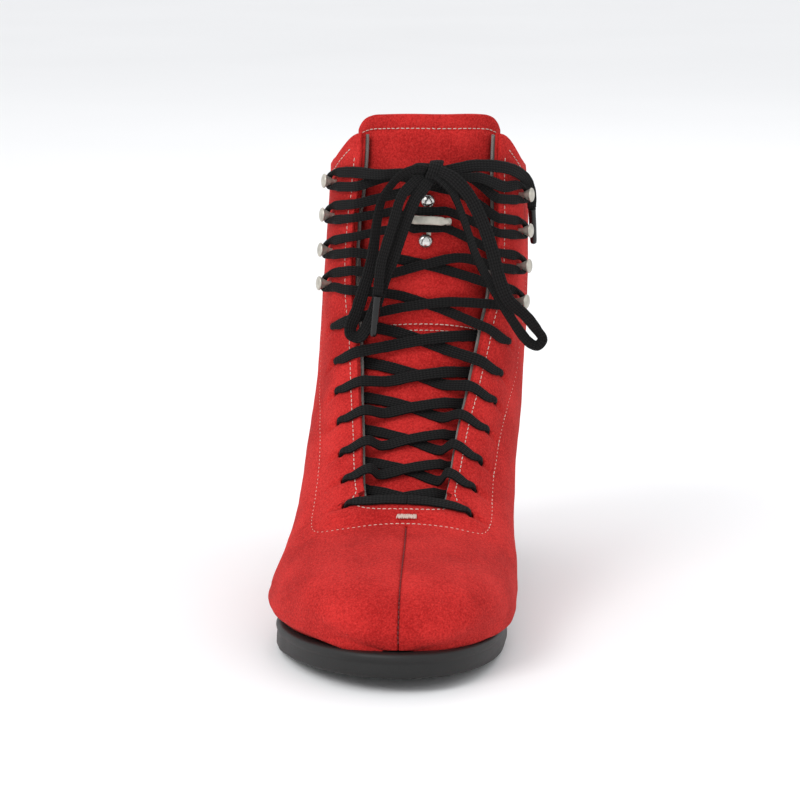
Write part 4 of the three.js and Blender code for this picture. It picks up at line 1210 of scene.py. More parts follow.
@dataclass(frozen=True)
class Lining:
    """What lies inside the upper: linings, foam at the collar, and the backing of the lace stays."""

    backing_depth: float = -2.3
    backing: float = 1.4
    cloth: float = 1.2
    quarter_depth: float = -7.0
    reach: float = 9.0
    feather: float = 118.0

    def backing_strip(self, side: Side) -> None:
        """Makes the grey backing that shows along the lace opening."""

        def place(girth: Array, share: Array) -> tuple[Array, Array]:
            """From the lace opening to just past the holes."""
            start = LAST.opening_angle(girth)
            degrees = start + (LAST.column_angle(girth) + self.reach - start) * share
            return LAST.to_collar(girth, degrees, 0.05), side.value * degrees

        Patch(spread(7.0, COLLAR, 160, 0.04), spread(0, 1, 16, 0.03), place, self.backing_depth, self.backing, 0.2, 0.1,
              lace_holes(side, 2.3)).make(f"facing_backing_cloth_{side.label}", GREY_CLOTH,
                                          [f"facing_backing_{side.label}"])

    def inner_edge(self, girth: Array) -> Array:
        """The angle where the quarter's lining and foam begin."""
        return LAST.column_angle(girth) + self.reach + 3

    def quarter(self, side: Side) -> None:
        """Makes the lining of one side of the shaft, drawn over the foam to the collar's edge."""

        def place(girth: Array, share: Array) -> tuple[Array, Array]:
            """From the front edge round to the back seam, or down to the board."""
            bottom = self.feather + (179.7 - self.feather) * smooth(girth, 12, 12.9)
            start = self.inner_edge(girth)
            degrees = start + (bottom - start) * share
            return LAST.to_collar(girth, degrees, 0.02), side.value * degrees

        def depth(girth: Array, share: Array) -> Array:
            """Under the foam, and out to the suede at the collar."""
            rise = smooth(girth, 17.1, COLLAR) ** 2
            return self.quarter_depth + (-2.1 - self.quarter_depth) * rise + 0.5 * np.sin(share * math.pi)

        Patch(spread(7.3, COLLAR, 150, 0.03), spread(0, 1, 70, 0.01), place, depth, self.cloth, 0.2, 0.3).make(
            f"quarter_lining_cloth_{side.label}", GREY_CLOTH, [f"quarter_lining_{side.label}"])

    def foam(self, side: Side) -> None:
        """Makes the collar's foam pad: full in the middle, thin at its edges."""

        def place(girth: Array, share: Array) -> tuple[Array, Array]:
            """From the front edge of the lining to near the back seam."""
            start = self.inner_edge(girth) + 1
            degrees = start + (177 - start) * share
            return LAST.to_collar(girth, degrees, 0.14), side.value * degrees

        def depth(girth: Array, share: Array) -> Array:
            """Just under the suede."""
            return -2.5 - 0.3 * smooth(girth, 17.2, COLLAR)

        piece = Patch(spread(14.5, 17.7, 50, 0.05), spread(0, 1, 60, 0.01), place, depth, 2.9, 1.1, 0.2).make(
            f"collar_foam_{side.label}", FOAM, [f"collar_padding_{side.label}"])

    def vamp(self) -> None:
        """Makes the lining of the front of the foot."""

        def place(girth: Array, degrees: Array) -> tuple[Array, Array]:
            """The places as they are."""
            return girth, degrees

        Patch(spread(0.9, 6.6, 70, 0.03), spread(-self.feather, self.feather, 90, 1), place, -4.4, self.cloth, 0.2,
              0.2).make("vamp_lining_cloth", GREY_CLOTH, ["vamp_lining"])

    def footbed(self) -> None:
        """Makes the cloth-covered footbed, dished under the heel and the ball."""

        def place(girth: Array, share: Array) -> tuple[Array, Array]:
            """Across the foot's bed."""
            degrees = 180 + 42 * share
            return girth, past_back(degrees)

        piece = Patch(spread(0.9, 11.8, 110, 0.04), spread(-1, 1, 40, 0.03), place, -5.8, 4.0, 0.9, 0.25).make(
            "footbed_cushion", DARK_CLOTH, ["footbed"])

    def build(self, frame_nodes: dict[str, bpy.types.Object]) -> None:
        """Makes the linings, and dresses the stiffeners that the frame already holds."""
        for side in Side:
            self.backing_strip(side)
            self.quarter(side)
            self.foam(side)
        self.vamp()
        self.footbed()
        for name, finish in (("toe_puff", BOARD), ("heel_counter", BOARD), ("insole_board", BOARD), ("shank", STEEL)):
            finish.lay_on(frame_nodes[name])
            LOG.info("dressed %s", name)


@dataclass(frozen=True)
class Tongue:
    """The padded suede tongue in two panels, its lining, and the keeper that the lace runs through."""

    root: float = 6.3
    top: float = 18.95
    keeper_girth: float = 15.92
    bar_width: float = 18.0
    bar_reach: float = 8.2
    bar_height: float = 6.5
    bar_sides: int = 20
    rivet_away: float = 8.6
    girth_step: float = 14.2
    depth: float = -7.2
    thickness: float = 4.0
    puff: float = 1.0
    cross_seam: float = 12.83

    def angle(self, girth: Array) -> Array:
        """The angle of the tongue's side edge at a girth."""
        return LAST.opening_angle(np.maximum(girth, 7)) + 7 - 3 * (girth - 6) / 13 + 11.5 * smooth(girth, 14.5, 17.6)

    def place(self, girth: Array, share: Array) -> tuple[Array, Array]:
        """A place on the tongue, its top corners rounded off."""
        corner = np.maximum(np.abs(share) - 0.68, 0) / 0.32
        drop = (1 - np.sqrt(1 - corner * corner * 0.97)) * 0.7 * smooth(girth, 17, self.top)
        drop = drop + 0.03 * smooth(girth, 17.5, self.top) * np.exp(-((share - 0.1) / 0.3) ** 2)
        return girth - drop, share * self.angle(girth)

    def surface(self, girth: Array, share: Array) -> Array:
        """The depth of the padded face, drawn in at its seams."""
        sink = 0.6 * (1 - smooth(girth, 6.3, 7.3))
        full = (1 - share ** 4) * smooth(girth, 6.5, 8)
        seam = np.exp(-((girth - self.cross_seam) / 0.05) ** 2)
        fold = np.exp(-((girth - self.cross_seam + 0.2) / 0.07) ** 2)
        dip = 0.5 * np.exp(-((self.top - girth - 0.47) / 0.09) ** 2) * (1 - smooth(np.abs(share), 0.75, 0.9))
        near = 1.6 * smooth(np.abs(share), 0.55, 0.9) * smooth(girth, 15.5, 17.5)
        return self.depth + sink + self.puff * full + near - 0.7 * seam + 0.5 * fold - dip

    def on(self, girth: Array, share: Array, above: float = 0.0) -> tuple[Array, Array]:
        """Points and outward directions on the tongue's face."""
        g, degrees = self.place(girth, share)
        depth = self.surface(girth, share) + above
        return LAST.on(g, degrees, depth), LAST.frame(g, degrees)[2]

    def build(self) -> None:
        """Makes the tongue, its lining, seams and keeper."""
        rows = np.concatenate([spread(self.root, 12.4, 80, 0.04)[:-1], np.linspace(12.4, 13.2, 34)[:-1],
                               spread(13.2, self.top, 90, 0.04)[2:]])
        pad = Patch(rows, spread(-1, 1, 64, 0.02), self.place, self.surface, self.thickness, 1.1, 0.25).make(
            "tongue_suede", SUEDE, ["tongue"])
        Patch(spread(self.root + 0.4, self.top - 0.1, 110, 0.04), spread(-0.95, 0.95, 40, 0.02), self.place,
              lambda g, s: self.surface(g, s) - self.thickness - 0.9, 1.2, 0.2).make(
            "tongue_lining_cloth", GREY_CLOTH, ["tongue_lining"])
        thread = Sewing("stitching_tongue", CREAM_THREAD)
        for offset in (-0.075, 0.085):
            share = np.linspace(-0.97, 0.97, 160)
            thread.row(*self.on(np.full_like(share, self.cross_seam + offset), share, 0.3))
        around = np.linspace(0, 1, 260)
        reach = 0.9
        share = np.interp(around, [0, 0.14, 0.86, 1], [-reach, -reach, reach, reach])
        girth = self.top - 0.46 - np.interp(around, [0, 0.14, 0.86, 1], [0.7, 0, 0, 0.7])
        thread.row(*self.on(girth, share, 0.25))
        thread.make()
        self.keeper()

    def keeper(self) -> None:
        """Makes the keeper: a bent bar on a foot, held by two domed rivets."""
        seat = Seat(self.keeper_girth, 0.0, self.depth + 0.3)
        width, reach, height = self.bar_width, self.bar_reach, self.bar_height
        route = np.array([(-reach, 0, 0.2), (-reach, 0, 2.4), (-reach + 0.2, 0, 4.6), (-reach + 1.4, 0.1, 6.1),
                          (-reach + 4.5, 0.2, height), (0, 0.2, height + 0.35), (reach - 4.0, 0.2, height),
                          (reach - 0.6, 0, height - 0.3), (width / 2 + 0.4, 0, height - 1.0),
                          (width / 2 + 0.6, 0, height - 2.4), (width / 2 - 0.6, 0, 1.6), (width / 2 - 0.8, 0, 0.2)])
        fine = smooth_path(route, 8)
        count = len(fine)
        along = unit(np.gradient(fine, axis=0))
        wide = np.array([0, 1.0, 0])
        face = unit(np.cross(along, wide))
        share = np.linspace(0, 1, count)
        on_top = np.sin(np.clip((share - 0.22) / 0.5, 0, 1) * math.pi)
        half_width = 0.75 + 1.15 * np.clip(on_top * 1.6, 0, 1)
        ball = np.exp(-((share - 0.76) / 0.045) ** 2)
        half_width = half_width + 0.9 * ball
        half_thick = 0.62 + 0.95 * ball
        turn = circle(self.bar_sides)
        c, s = np.cos(turn), np.sin(turn)
        squash = 0.72
        ring = (fine[:, None] + wide * (np.sign(c) * np.abs(c) ** squash)[None, :, None] * half_width[:, None, None]
                + face[:, None] * (np.sign(s) * np.abs(s) ** squash)[None, :, None] * half_thick[:, None, None])
        bar = tube("lace_keeper_bar", seat.at(ring[..., 0], ring[..., 1], ring[..., 2]))
        NICKEL.dress(bar, Body.BOOT, "lace_keeper")
        strap = [(-2.2, -10.4), (2.2, -10.4), (2.2, 10.4), (-2.2, 10.4)]
        rings = []
        for lift, inset in ((0.0, 0.0), (0.45, 0.0), (0.6, 0.25)):
            rings.append(seat.at([x * (1 - inset / 4) for x, _ in strap], [y * (1 - inset / 10) for _, y in strap],
                                 [lift] * 4))
        plate = tube("lace_keeper_foot", np.array(rings))
        NICKEL.dress(plate, Body.BOOT)
        dome = [(0.02, 0.0), (3.1, 0.0), (3.2, 0.3), (3.05, 0.95), (2.5, 1.65), (1.6, 2.2), (0.7, 2.45), (0.02, 2.5)]
        for word, sign in (("upper", 1), ("lower", -1)):
            place = Seat(self.keeper_girth + sign * self.rivet_away / self.girth_step, 0.0, self.depth + 1.2)
            rivet = turned(f"keeper_rivet_{word}_dome", dome, place)
            BRIGHT_NICKEL.dress(rivet, Body.BOOT, f"keeper_rivet_{word}")
        LOG.info("made the lace keeper")


@dataclass(frozen=True)
class Hook:
    """A speed-lacing hook: a flange, a narrow neck that flares to a thin lip, and a domed head."""

    profile: tuple[tuple[float, float], ...] = (
        (0.02, -1.0), (1.05, -1.0), (1.1, 0.6), (1.25, 1.4), (1.65, 2.4), (2.1, 3.3), (2.55, 4.2), (2.8, 4.7),
        (3.1, 5.0), (3.3, 5.15), (3.38, 5.35), (3.36, 5.6), (3.1, 5.95), (2.5, 6.25), (1.6, 6.5), (0.7, 6.62),
        (0.02, 6.65))
    rise: float = 1.8
    inward: float = 0.9
    lean: float = 17.0

    def build(self) -> None:
        """Makes the eight hooks, each on its place in its column."""
        for side in Side:
            for number in range(4):
                girth = LAST.column_girth(7 + number, side.value)
                degrees = side.value * float(LAST.column_angle(np.array(girth)))
                name = f"lace_hook_{side.label}_{number + 1}"
                place = Seat(girth, degrees, 1.9, side.value * self.lean)
                hook = turned(name + "_turned", self.profile, place, 36, (-side.value * self.inward, self.rise))
                NICKEL.dress(hook, Body.BOOT, name)
        LOG.info("made the hooks")


# ---------------------------------------------------------------- sole
@dataclass(frozen=True)
class Sole:
    """The outsole, its heel block and the top lift, drawn in plan and given a rounded edge."""

    thickness: float = 12.0
    seat: float = 6.0
    lift: float = 5.0
    spring: Track = track([6.4, 6.4, 6.0, 5.2, 4.2, 3.1, 2.0, 1.0, 0.3, 0, 0])
    gap: float = 0.3
    deep: float = 7.0
    girth: Track = track([0, 0.45, 1.2, 2.2, 3.2, 4.2, 5.1, 6, 6.8, 7.5, 8.1, 8.7, 9.3, 9.9, 10.4, 10.9, 11.3, 11.6,
                          11.85, 12, 12])
    medial: Track = track([7, 13, 21.7, 31.6, 40.8, 47.8, 52.6, 54.4, 51.4, 46.5, 42, 37.5, 34, 32.3, 31.8, 32, 32, 31,
                           28, 21.5, 10])
    lateral: Track = track([7, 12.3, 19.4, 27.2, 33.8, 38.2, 40.6, 41.8, 42.4, 42.2, 41, 39, 37, 35.5, 34.6, 34, 33.5,
                            32, 28.5, 21.5, 10])
    back: Track = track([-133.6, -132.2, -127.5, -118.5, -106, -92, -77.5, -62, -47, -32, -17, -2, 13, 29, 45, 61, 77,
                         93, 108, 122, 131])
    top: Track = track([4.7, 4.6, 4.2, 3.4, 2.4, 1.5, 0.8, 0.3, 0.2, 0.9, 3.4, 7.2, 11.8, 17, 22.4, 27, 30, 31.7, 32.4,
                        32.6, 32.6])

    def outline(self, first: float, count: int) -> tuple[Array, Array, Array]:
        """The plan outline from a station round the heel and back, with its stations and middle line."""
        stations = np.linspace(first, 20, count)
        toe = first == 0
        ease = np.linspace(1 / 16, 1.0, 9)[:-1] if toe else np.array([])
        s = np.concatenate([np.zeros_like(ease), stations, np.full(8, 20.0)])
        width = np.concatenate([ease, np.ones(count), np.sqrt(1 - np.linspace(1 / 8, 0.992, 8) ** 2)])
        y = self.back(s)
        y[:len(ease)] -= 0.8 * (1 - ease ** 2)
        y[-8:] += 1.0 * np.linspace(1 / 8, 1, 8)
        mid = LAST.curves[4](self.girth(s))
        left = np.stack([mid - self.medial(s) * width, y], 1)
        right = np.stack([mid + self.lateral(s) * width, y], 1)
        plan = np.concatenate([left, right[::-1]])
        spine = np.stack([mid, y], 1)
        return plan, np.concatenate([s, s[::-1]]), np.concatenate([spine, spine[::-1]])

    def inset(self, plan: Array, distance: float) -> Array:
        """The outline moved inwards by a distance."""
        ahead, behind = np.roll(plan, -1, 0), np.roll(plan, 1, 0)
        tangent = unit(ahead - behind)
        inward = np.stack([-tangent[:, 1], tangent[:, 0]], 1)
        centre = plan.mean(0)
        if np.sum(inward * (centre - plan)) < 0:
            inward = -inward
        return plan + inward * distance

    def shrunk(self, plan: Array, spine: Array, distance: float) -> Array:
        """The outline drawn in towards its middle line and its middle."""
        half = np.abs(plan[:, 0] - spine[:, 0]).max()
        middle = (plan[:, 1].max() + plan[:, 1].min()) / 2
        x = spine[:, 0] + (plan[:, 0] - spine[:, 0]) * (1 - distance / half)
        y = middle + (plan[:, 1] - middle) * (1 - distance / (plan[:, 1].max() - middle))
        return np.stack([x, y], 1)

    def bottom(self, s: Array) -> Array:
        """The height of the outsole's underside over the ground."""
        rise = np.maximum(self.spring(np.minimum(s, 10)), 0)
        waist = smooth(s, 8, 16)
        lifted = self.top(s) + self.thickness - (self.thickness + (self.seat - self.thickness) * waist)
        return np.where(s <= 9, rise, np.maximum(lifted, 0))

    def body_of(self, name: str, first: float, count: int, levels: Sequence[tuple[float, float, float]],
                low: Track, high: Track, finish: Finish, node: str) -> None:
        """Makes a layer of the sole from levels of inset and height.

        Args:
            name: the piece's name.
            first: the station where it starts.
            count: how many stations it has.
            levels: for each level, a share of the height, a distance added to it, and the inset; an inset of 50 or
                more is a hundredfold share of the way to the middle line.
            low: the height of its underside at a station.
            high: the height of its upper side.
            finish: its finish.
            node: the frame's node that it stands for.
        """
        plan, s, spine = self.outline(first, count)
        rings = []
        for share, more, inset in levels:
            if inset >= 50:
                base = self.shrunk(plan, spine, self.deep)
                line = np.stack([spine[:, 0], base[:, 1]], 1)
                flat = base + (line - base) * (inset / 100)
            elif first or inset > 2:
                flat = self.shrunk(plan, spine, inset)
            else:
                flat = self.inset(plan, inset)
            z = low(s) + (high(s) - low(s)) * share + more
            rings.append(np.column_stack([flat, z]))
        rings = np.array(rings)
        count_around = rings.shape[1]
        half = count_around // 2
        faces = grid_faces(len(rings), count_around, around=True).tolist()
        last = (len(rings) - 1) * count_around
        for start in (0, last):
            for i in range(half - 1):
                quad = [start + i, start + i + 1, start + count_around - 2 - i, start + count_around - 1 - i]
                faces.append(quad if start == 0 else quad[::-1])
        piece = new_piece(name, rings.reshape(-1, 3), faces)
        fix_normals(piece)
        finish.dress(piece, Body.BOOT, node)
        LOG.info("made %s", name)

    def build(self) -> None:
        """Makes the outsole, heel block and top lift."""
        edge = [(0, 0.0, 97), (0, 0.0, 60), (0, 0.0, 6.0), (0, 0.0, 3.0), (0, 0.5, 2.6), (0, 0.5, 2.0), (0, 0.0, 1.6),
                (0, 0.08, 0.9), (0, 0.5, 0.3), (0, 1.1, 0.05), (0.3, 0.0, 0.12), (0.5, 0.0, 0.3), (1, -4.6, 0.45),
                (1, -3.9, 0.4), (1, -3.4, 0.05), (1, -2.6, -0.1), (1, -1.7, 0.0), (1, -1.0, 0.35), (1, -0.5, 0.9),
                (1, -0.25, 1.7), (1, -0.25, 3.5), (1, -0.3, 60), (1, -0.3, 97)]
        self.body_of("outsole_moulded", 0.0, 180, edge, self.bottom, lambda s: self.top(s) + self.thickness, SOLE,
                     "outsole")
        stack = [(0, 0.0, 97), (0, 0.0, 60), (0, 0.0, 3.2)]
        layers = 5
        for layer in range(layers):
            low, high = layer / layers, (layer + 1) / layers
            inset = 2.4 - 1.4 * np.array([low + 0.02, high - 0.02]) ** 0.8
            stack += [(low, 0.25, inset[0] + 0.12), (low + 0.03, 0.3, inset[0]), (high - 0.03, -0.3, inset[1]),
                      (high, -0.25, inset[1] + 0.12)]
        stack += [(1, 0.0, 3.0), (1, 0.0, 60), (1, 0.0, 97)]
        self.body_of("heel_block_stacked", 15.2, 60, stack, lambda s: np.full_like(s, self.lift + self.gap),
                     lambda s: self.bottom(s) - self.gap, HEEL, "heel_block")
        tread = [(0, 0.0, 97), (0, 0.0, 60), (0, 0.0, 6.5), (0, 0.6, 6.0), (0, 0.6, 5.0), (0, 0.0, 4.6), (0, 0.0, 3.6),
                 (0, 0.3, 3.0), (0.5, 0.0, 2.7), (1, -0.3, 2.5), (1, 0.0, 2.9), (1, 0.0, 60), (1, 0.0, 97)]
        self.body_of("heel_top_lift_moulded", 15.2, 60, tread, lambda s: np.zeros_like(s),
                     lambda s: np.full_like(s, self.lift), SOLE, "heel_top_lift")


def fix_normals(piece: bpy.types.Object) -> None:
    """Turns every face of a closed mesh outwards."""
    work = bmesh.new()
    work.from_mesh(piece.data)
    bmesh.ops.recalc_face_normals(work, faces=work.faces)
    work.to_mesh(piece.data)
    work.free()


# ---------------------------------------------------------------- laces
@dataclass
class Ribbon:
    """A flat lace: places with the direction of its width and its width there."""

    places: list[Place] = field(default_factory=list)
    thickness: float = 1.35
    full_width: float = 4.9
    slack: float = 0.9
    sides: int = 18

    def add(self, point: Array, wide: Array, width: float) -> None:
        """Adds the next place."""
        self.places.append((np.asarray(point, float), np.asarray(wide, float), width))

    def extend(self, other: Sequence[Place]) -> None:
        """Adds several places in order."""
        for point, wide, width in other:
            self.add(point, wide, width)

    def fine(self, steps: int) -> tuple[Array, Array, Array]:
        """The smooth middle line, directions of width and widths."""
        rows = []
        last = None
        for point, wide, width in self.places:
            if last is not None and np.dot(last, wide) < 0:
                wide = -wide
            last = wide
            rows.append([*point, *(wide * 0.001), width * 0.001])
        path = smooth_path(np.array(rows), steps)
        return path[:, :3], unit(path[:, 3:6]), path[:, 6] * 1000

    def make(self, name: str, node: str, body: Body, steps: int = 7) -> tuple[bpy.types.Object, Array]:
        """Weaves the lace.

        Args:
            name: the piece's name.
            node: the frame's node that it stands for, or nothing.
            body: what it rides on.
            steps: how many pieces each stretch between two places is cut into.

        Returns:
            The new object and its middle line in millimetres.
        """
        middle, wide, width = self.fine(steps)
        along = unit(np.gradient(middle, axis=0))
        side = unit(wide - along * np.sum(wide * along, 1, keepdims=True))
        face = unit(np.cross(along, side))
        half = width * self.slack / 2
        squeeze = np.clip(self.full_width / np.maximum(width, 1), 1, 1.5)
        thick = self.thickness / 2 * squeeze
        turn = circle(self.sides) + math.pi / self.sides
        c, s = np.cos(turn), np.sin(turn)
        u = np.sign(c) * np.abs(c) ** 0.75
        v = np.sign(s) * np.abs(s) ** 0.6
        travelled = np.concatenate([[0], np.cumsum(np.linalg.norm(np.diff(middle, axis=0), axis=1))])
        wobble = 1 + 0.035 * np.sin(travelled * 0.9) * np.sin(travelled * 0.37 + 1)
        rings = (middle[:, None] + side[:, None] * (u[None, :] * (half * wobble)[:, None])[..., None]
                 + face[:, None] * (v[None, :] * thick[:, None])[..., None])
        uv = np.stack([np.repeat(travelled[:, None], len(turn), 1),
                       np.repeat((u[None] * 0.5 + 0.5), len(middle), 0)], -1)
        piece = tube(name, rings, uv)
        fix_normals(piece)
        LACING.dress(piece, body, *([node] if node else []))
        LOG.info("made %s", name)
        return piece, middle


@dataclass(frozen=True)
class Laces:
    """The two halves of the lace: through the holes, round the hooks, to the knot, and the bow."""

    rows: int = 7
    hooks: int = 4
    width: float = 5.6
    over: float = 3.0
    under: float = -5.25
    upper_crossing: float = -3.3
    hook_turn: float = 3.15
    hook_height: float = 4.1
    at_hole: float = 2.8
    hook_spacing: float = 14.3
    spread: float = 0.26
    beside_keeper: float = 0.26
    keeper_stops: tuple[float, ...] = (10, 4, -2, -6.5, -10.5, -14.5, -19)
    keeper_girth_middle: float = 15.95
    free_width: float = 4.4
    free_thickness: float = 1.3
    aglet_sides: int = 24
    knot_sides: int = 28
    band_radius: float = 4.5
    band_width: float = 5.8
    knot: tuple[float, float, float] = (8.9, 4.0, 192.0)
    left_loop: Route = (
        (8.4, 2.6, 192.4), (6.4, -0.2, 193.8), (3.2, -1.8, 194.2), (-2.8, -1.2, 191.8), (-7.4, 0.2, 187.2),
        (-11.8, 1.5, 180.4), (-14, 2.5, 170.5),
        (-15.4, 3, 160), (-17.2, 3.6, 150), (-20, 4.3, 140.5), (-23, 5.2, 131), (-25.6, 6.2, 124.6),
        (-25.6, 6.4, 120.8), (-22.4, 5.9, 119.6), (-19.4, 5.1, 122.8), (-15.8, 4.4, 130.5), (-11.4, 3, 144),
        (-7, 1.6, 155), (-2.6, 0.4, 168), (2.6, -1.2, 181), (6.4, -1.8, 186), (8.6, -0.2, 189),
        (9.4, 2.6, 191.2))
    right_loop: Route = (
        (9.6, 2.8, 191.6), (11.4, 0, 190.8), (14.2, -1.6, 188.6), (19.2, -0.8, 183), (24.3, 0.2, 170),
        (28.8, 2, 156.5), (36.8, 5.5, 140.5),
        (45, 9, 126.5), (51.2, 11.6, 117.6), (55.4, 12.9, 115.2), (57.8, 12.4, 118.2), (55, 10.6, 123),
        (50.4, 8, 129.2), (43, 4.2, 136.6), (39, 2.4, 146), (36.2, 1.2, 157), (32.4, 0.2, 169), (26, -1.4, 182.4),
        (19.6, -2.2, 189.8), (14.6, -1, 192.6), (10.8, 2, 192.8))
    left_tail: Route = (
        (7.6, 2.6, 191.4), (5.2, -0.2, 190.6), (1.8, -1.8, 188.2), (-3, -2.8, 182.6), (-7, -2.2, 170),
        (-10, -1.6, 160.5), (-12.2, -1, 152),
        (-13.6, -0.4, 139))
    right_tail: Route = (
        (14.4, 3.4, 192.6), (20, 5.4, 193.6), (28, 9.6, 194.4), (37, 15, 193.6), (44.4, 22, 191.2), (49.6, 30, 186.6),
        (52.2, 36.4, 180), (52.6, 39.6, 172.4))

    def lace_place(self, girth: float, sideways: float, depth: float, width: float | None = None
                   ) -> Place:
        """A place of the lace at a girth and a distance sideways from its middle."""
        degrees = float(LAST.angle_at(girth, sideways))
        return LAST.on(girth, degrees, depth), LAST.frame(girth, degrees)[0], width or self.width

    def through_hole(self, row: int, side: int, inwards: bool) -> list[Place]:
        """Through a hole, inwards or outwards."""
        girth = LAST.column_girth(row, side)
        x = side * float(LAST.column_half(row))
        places = [self.lace_place(girth, x - side * 4.6, self.over, 5), self.lace_place(
            girth, x - side * 1.1, self.over - 0.5, self.at_hole), self.lace_place(girth, x, -0.8, self.at_hole),
            self.lace_place(girth, x - side * 1.1, self.under + 0.2, self.at_hole),
            self.lace_place(girth, x - side * 4.4, self.under, 5)]
        return places if inwards else places[::-1]

    def crossing(self, side: int, start: float, end: float, over: tuple[bool, bool], on_top: bool, cross: float = 0,
                 middle: float = 0, lift: float = 0, width: float | None = None,
                 keeper: bool = False) -> list[Place]:
        """Across the tongue from one side to the other.

        Args:
            side: the side it starts on.
            start: the girth it starts at.
            end: the girth it ends at.
            over: whether it starts and ends on top of the leather.
            on_top: whether it lies over the other half of the lace.
            cross: how far sideways it is drawn towards the middle girth, or 0 if it runs straight.
            middle: that girth.
            lift: how much higher it lies.
            width: its width.
            keeper: whether it passes under the keeper on its way.

        Returns:
            The places.
        """
        level = (self.upper_crossing if on_top else self.under) + lift
        edges = [float(LAST.opening_half(max(girth - LAST.first_row, 0))) for girth in (start, end)]
        column = float(LAST.column_half(max(start - LAST.first_row, 0)))
        reach = cross or min(edges[0] - 4, 13)

        def girth_at(x: float) -> float:
            """The girth of a lace that isn't held by the keeper, at a sideways place."""
            if not cross:
                return start + (end - start) * (column - side * x) / (2 * column)
            inner = middle - self.spread * min(max(side * x / cross, -1), 1)
            outer = start if side * x > 0 else end
            return inner + (outer - inner) * float(smooth(np.array(abs(x)), cross, edges[0]))

        def near(edge: float, above: bool, sign: int) -> list[tuple[float, float]]:
            """The sideways places and depths where the lace passes the edge of the leather."""
            if above:
                return [(sign * (edge + 1.4), self.over + 0.2), (sign * (edge - 1.4), self.over - 0.4)]
            return [(sign * (edge + 1.2), self.under), (sign * (edge - 1.4), self.under)]

        inner = [(side * reach, level), (0, level), (-side * reach, level)]
        if keeper:
            inner = [(x, level) for x in self.keeper_stops][::side]
        stops = [*near(edges[0], over[0], side), *inner, *near(edges[1], over[1], -side)[::-1]]
        return [self.lace_place(self.keeper_girth(x, side, start, end) if keeper else girth_at(x), x, depth, width)
                for x, depth in stops]

    def keeper_girth(self, x: float, side: int, start: float, end: float) -> float:
        """The girth of a lace that runs beside the keeper's bar and crosses the other next to it."""
        to_right = float(smooth(np.array(x), -14.5, -6.5))
        offset = self.beside_keeper * (1 - 2 * to_right) * side
        left, right = (start, end) if side < 0 else (end, start)
        middle = self.keeper_girth_middle + offset
        if x > 0:
            return middle + (right - middle) * float(smooth(np.array(x), 10.0, 31.0))
        return middle + (left - middle) * float(smooth(np.array(-x), 16.0, 31.0))

    def round_hook(self, hook: int, side: int) -> list[Place]:
        """Round a hook's neck, from its lower side to its upper side."""
        row = self.rows + hook
        girth = LAST.column_girth(row, side)
        degrees = float(LAST.angle_at(girth, side * float(LAST.column_half(row))))
        up, round_, out = LAST.frame(girth, degrees)
        base = LAST.point(girth, degrees) + up * Hook.rise - round_ * side * Hook.inward

        def at(outward: float, rise: float, height: float, lean: float, width: float) -> Place:
            """A place beside the hook, with the lace leaning by some degrees."""
            turn = math.radians(lean)
            return (base + round_ * side * outward + up * rise + out * height,
                    up * math.cos(turn) + out * math.sin(turn), width)

        r, high, low = self.hook_turn, self.hook_height, self.over
        slim = self.at_hole
        lower = [at(-7.2, -r, low + 0.3, 0, 4.8), at(-4.2, -r, low + 0.7, 40, 4.2), at(-0.6, -r, high, 85, slim),
                 at(r * 0.7, -r * 0.7, high, 90, slim)]
        upper = [at(r * 0.7, r * 0.7, high, 90, slim), at(-0.6, r, high, 85, slim), at(-4.2, r, low + 0.7, 40, 4.2),
                 at(-7.2, r, low + 0.3, 0, 4.8)]
        return [*lower, at(r, 0, high, 90, slim), *upper]

    def run(self, first: int) -> Ribbon:
        """One half of the lace, from the middle of the straight bar to the last hook."""
        lace = Ribbon()
        tilt = float(LAST.curves[13](0))
        for x in (0.15, 9, 18):
            lace.add(*self.lace_place(LAST.first_row - first * tilt * x / 26, first * x, self.over))
        side = first
        lace.extend(self.through_hole(0, side, True))
        for row in range(self.rows - 1):
            lace.extend(self.crossing(side, LAST.column_girth(row, side), LAST.column_girth(row + 1, -side),
                                      (row > 0, False), side < 0))
            side = -side
            lace.extend(self.through_hole(row + 1, side, False))
        girth = LAST.column_girth(self.rows - 1, side)
        step = self.hook_turn / self.hook_spacing
        rise = Hook.rise / self.hook_spacing
        ways = ({"width": 4.8}, {"cross": 17, "middle": 14.6, "width": 4.8},
                {"lift": 0.8, "width": 4.3, "keeper": True},
                {"cross": 17, "middle": 17.02, "width": 4.8})
        for hook, way in enumerate(ways):
            end = LAST.column_girth(self.rows + hook, -side) - step + rise
            lace.extend(self.crossing(side, girth, end, (True, True), side < 0, **way))
            side = -side
            lace.extend(self.round_hook(hook, side))
            girth = LAST.column_girth(self.rows + hook, side) + step + rise
        edge = float(LAST.opening_half(girth - LAST.first_row))
        lace.add(*self.lace_place(girth + 0.02 - rise, side * (edge + 1.4), self.over + 0.2))
        return lace

    def held(self) -> None:
        """Makes the two halves of the lace that the boot holds."""
        ends = {-1: ((-13, 9.6, 190.4, 5), (-5, 6.6, 191.6, 4), (0.5, 4.6, 192, 3)),
                1: ((30, 8.8, 189.4, 5), (23, 6.2, 189.8, 4), (17.3, 4.4, 190.4, 3))}
        for side in Side:
            lace = self.run(side.value)
            for x, y, z, width in ends[side.value]:
                lace.add((x, y, z), (0, 0, 1), width)
            lace.make(f"lace_run_woven_{side.label}", f"lace_run_{side.label}", Body.BOOT)

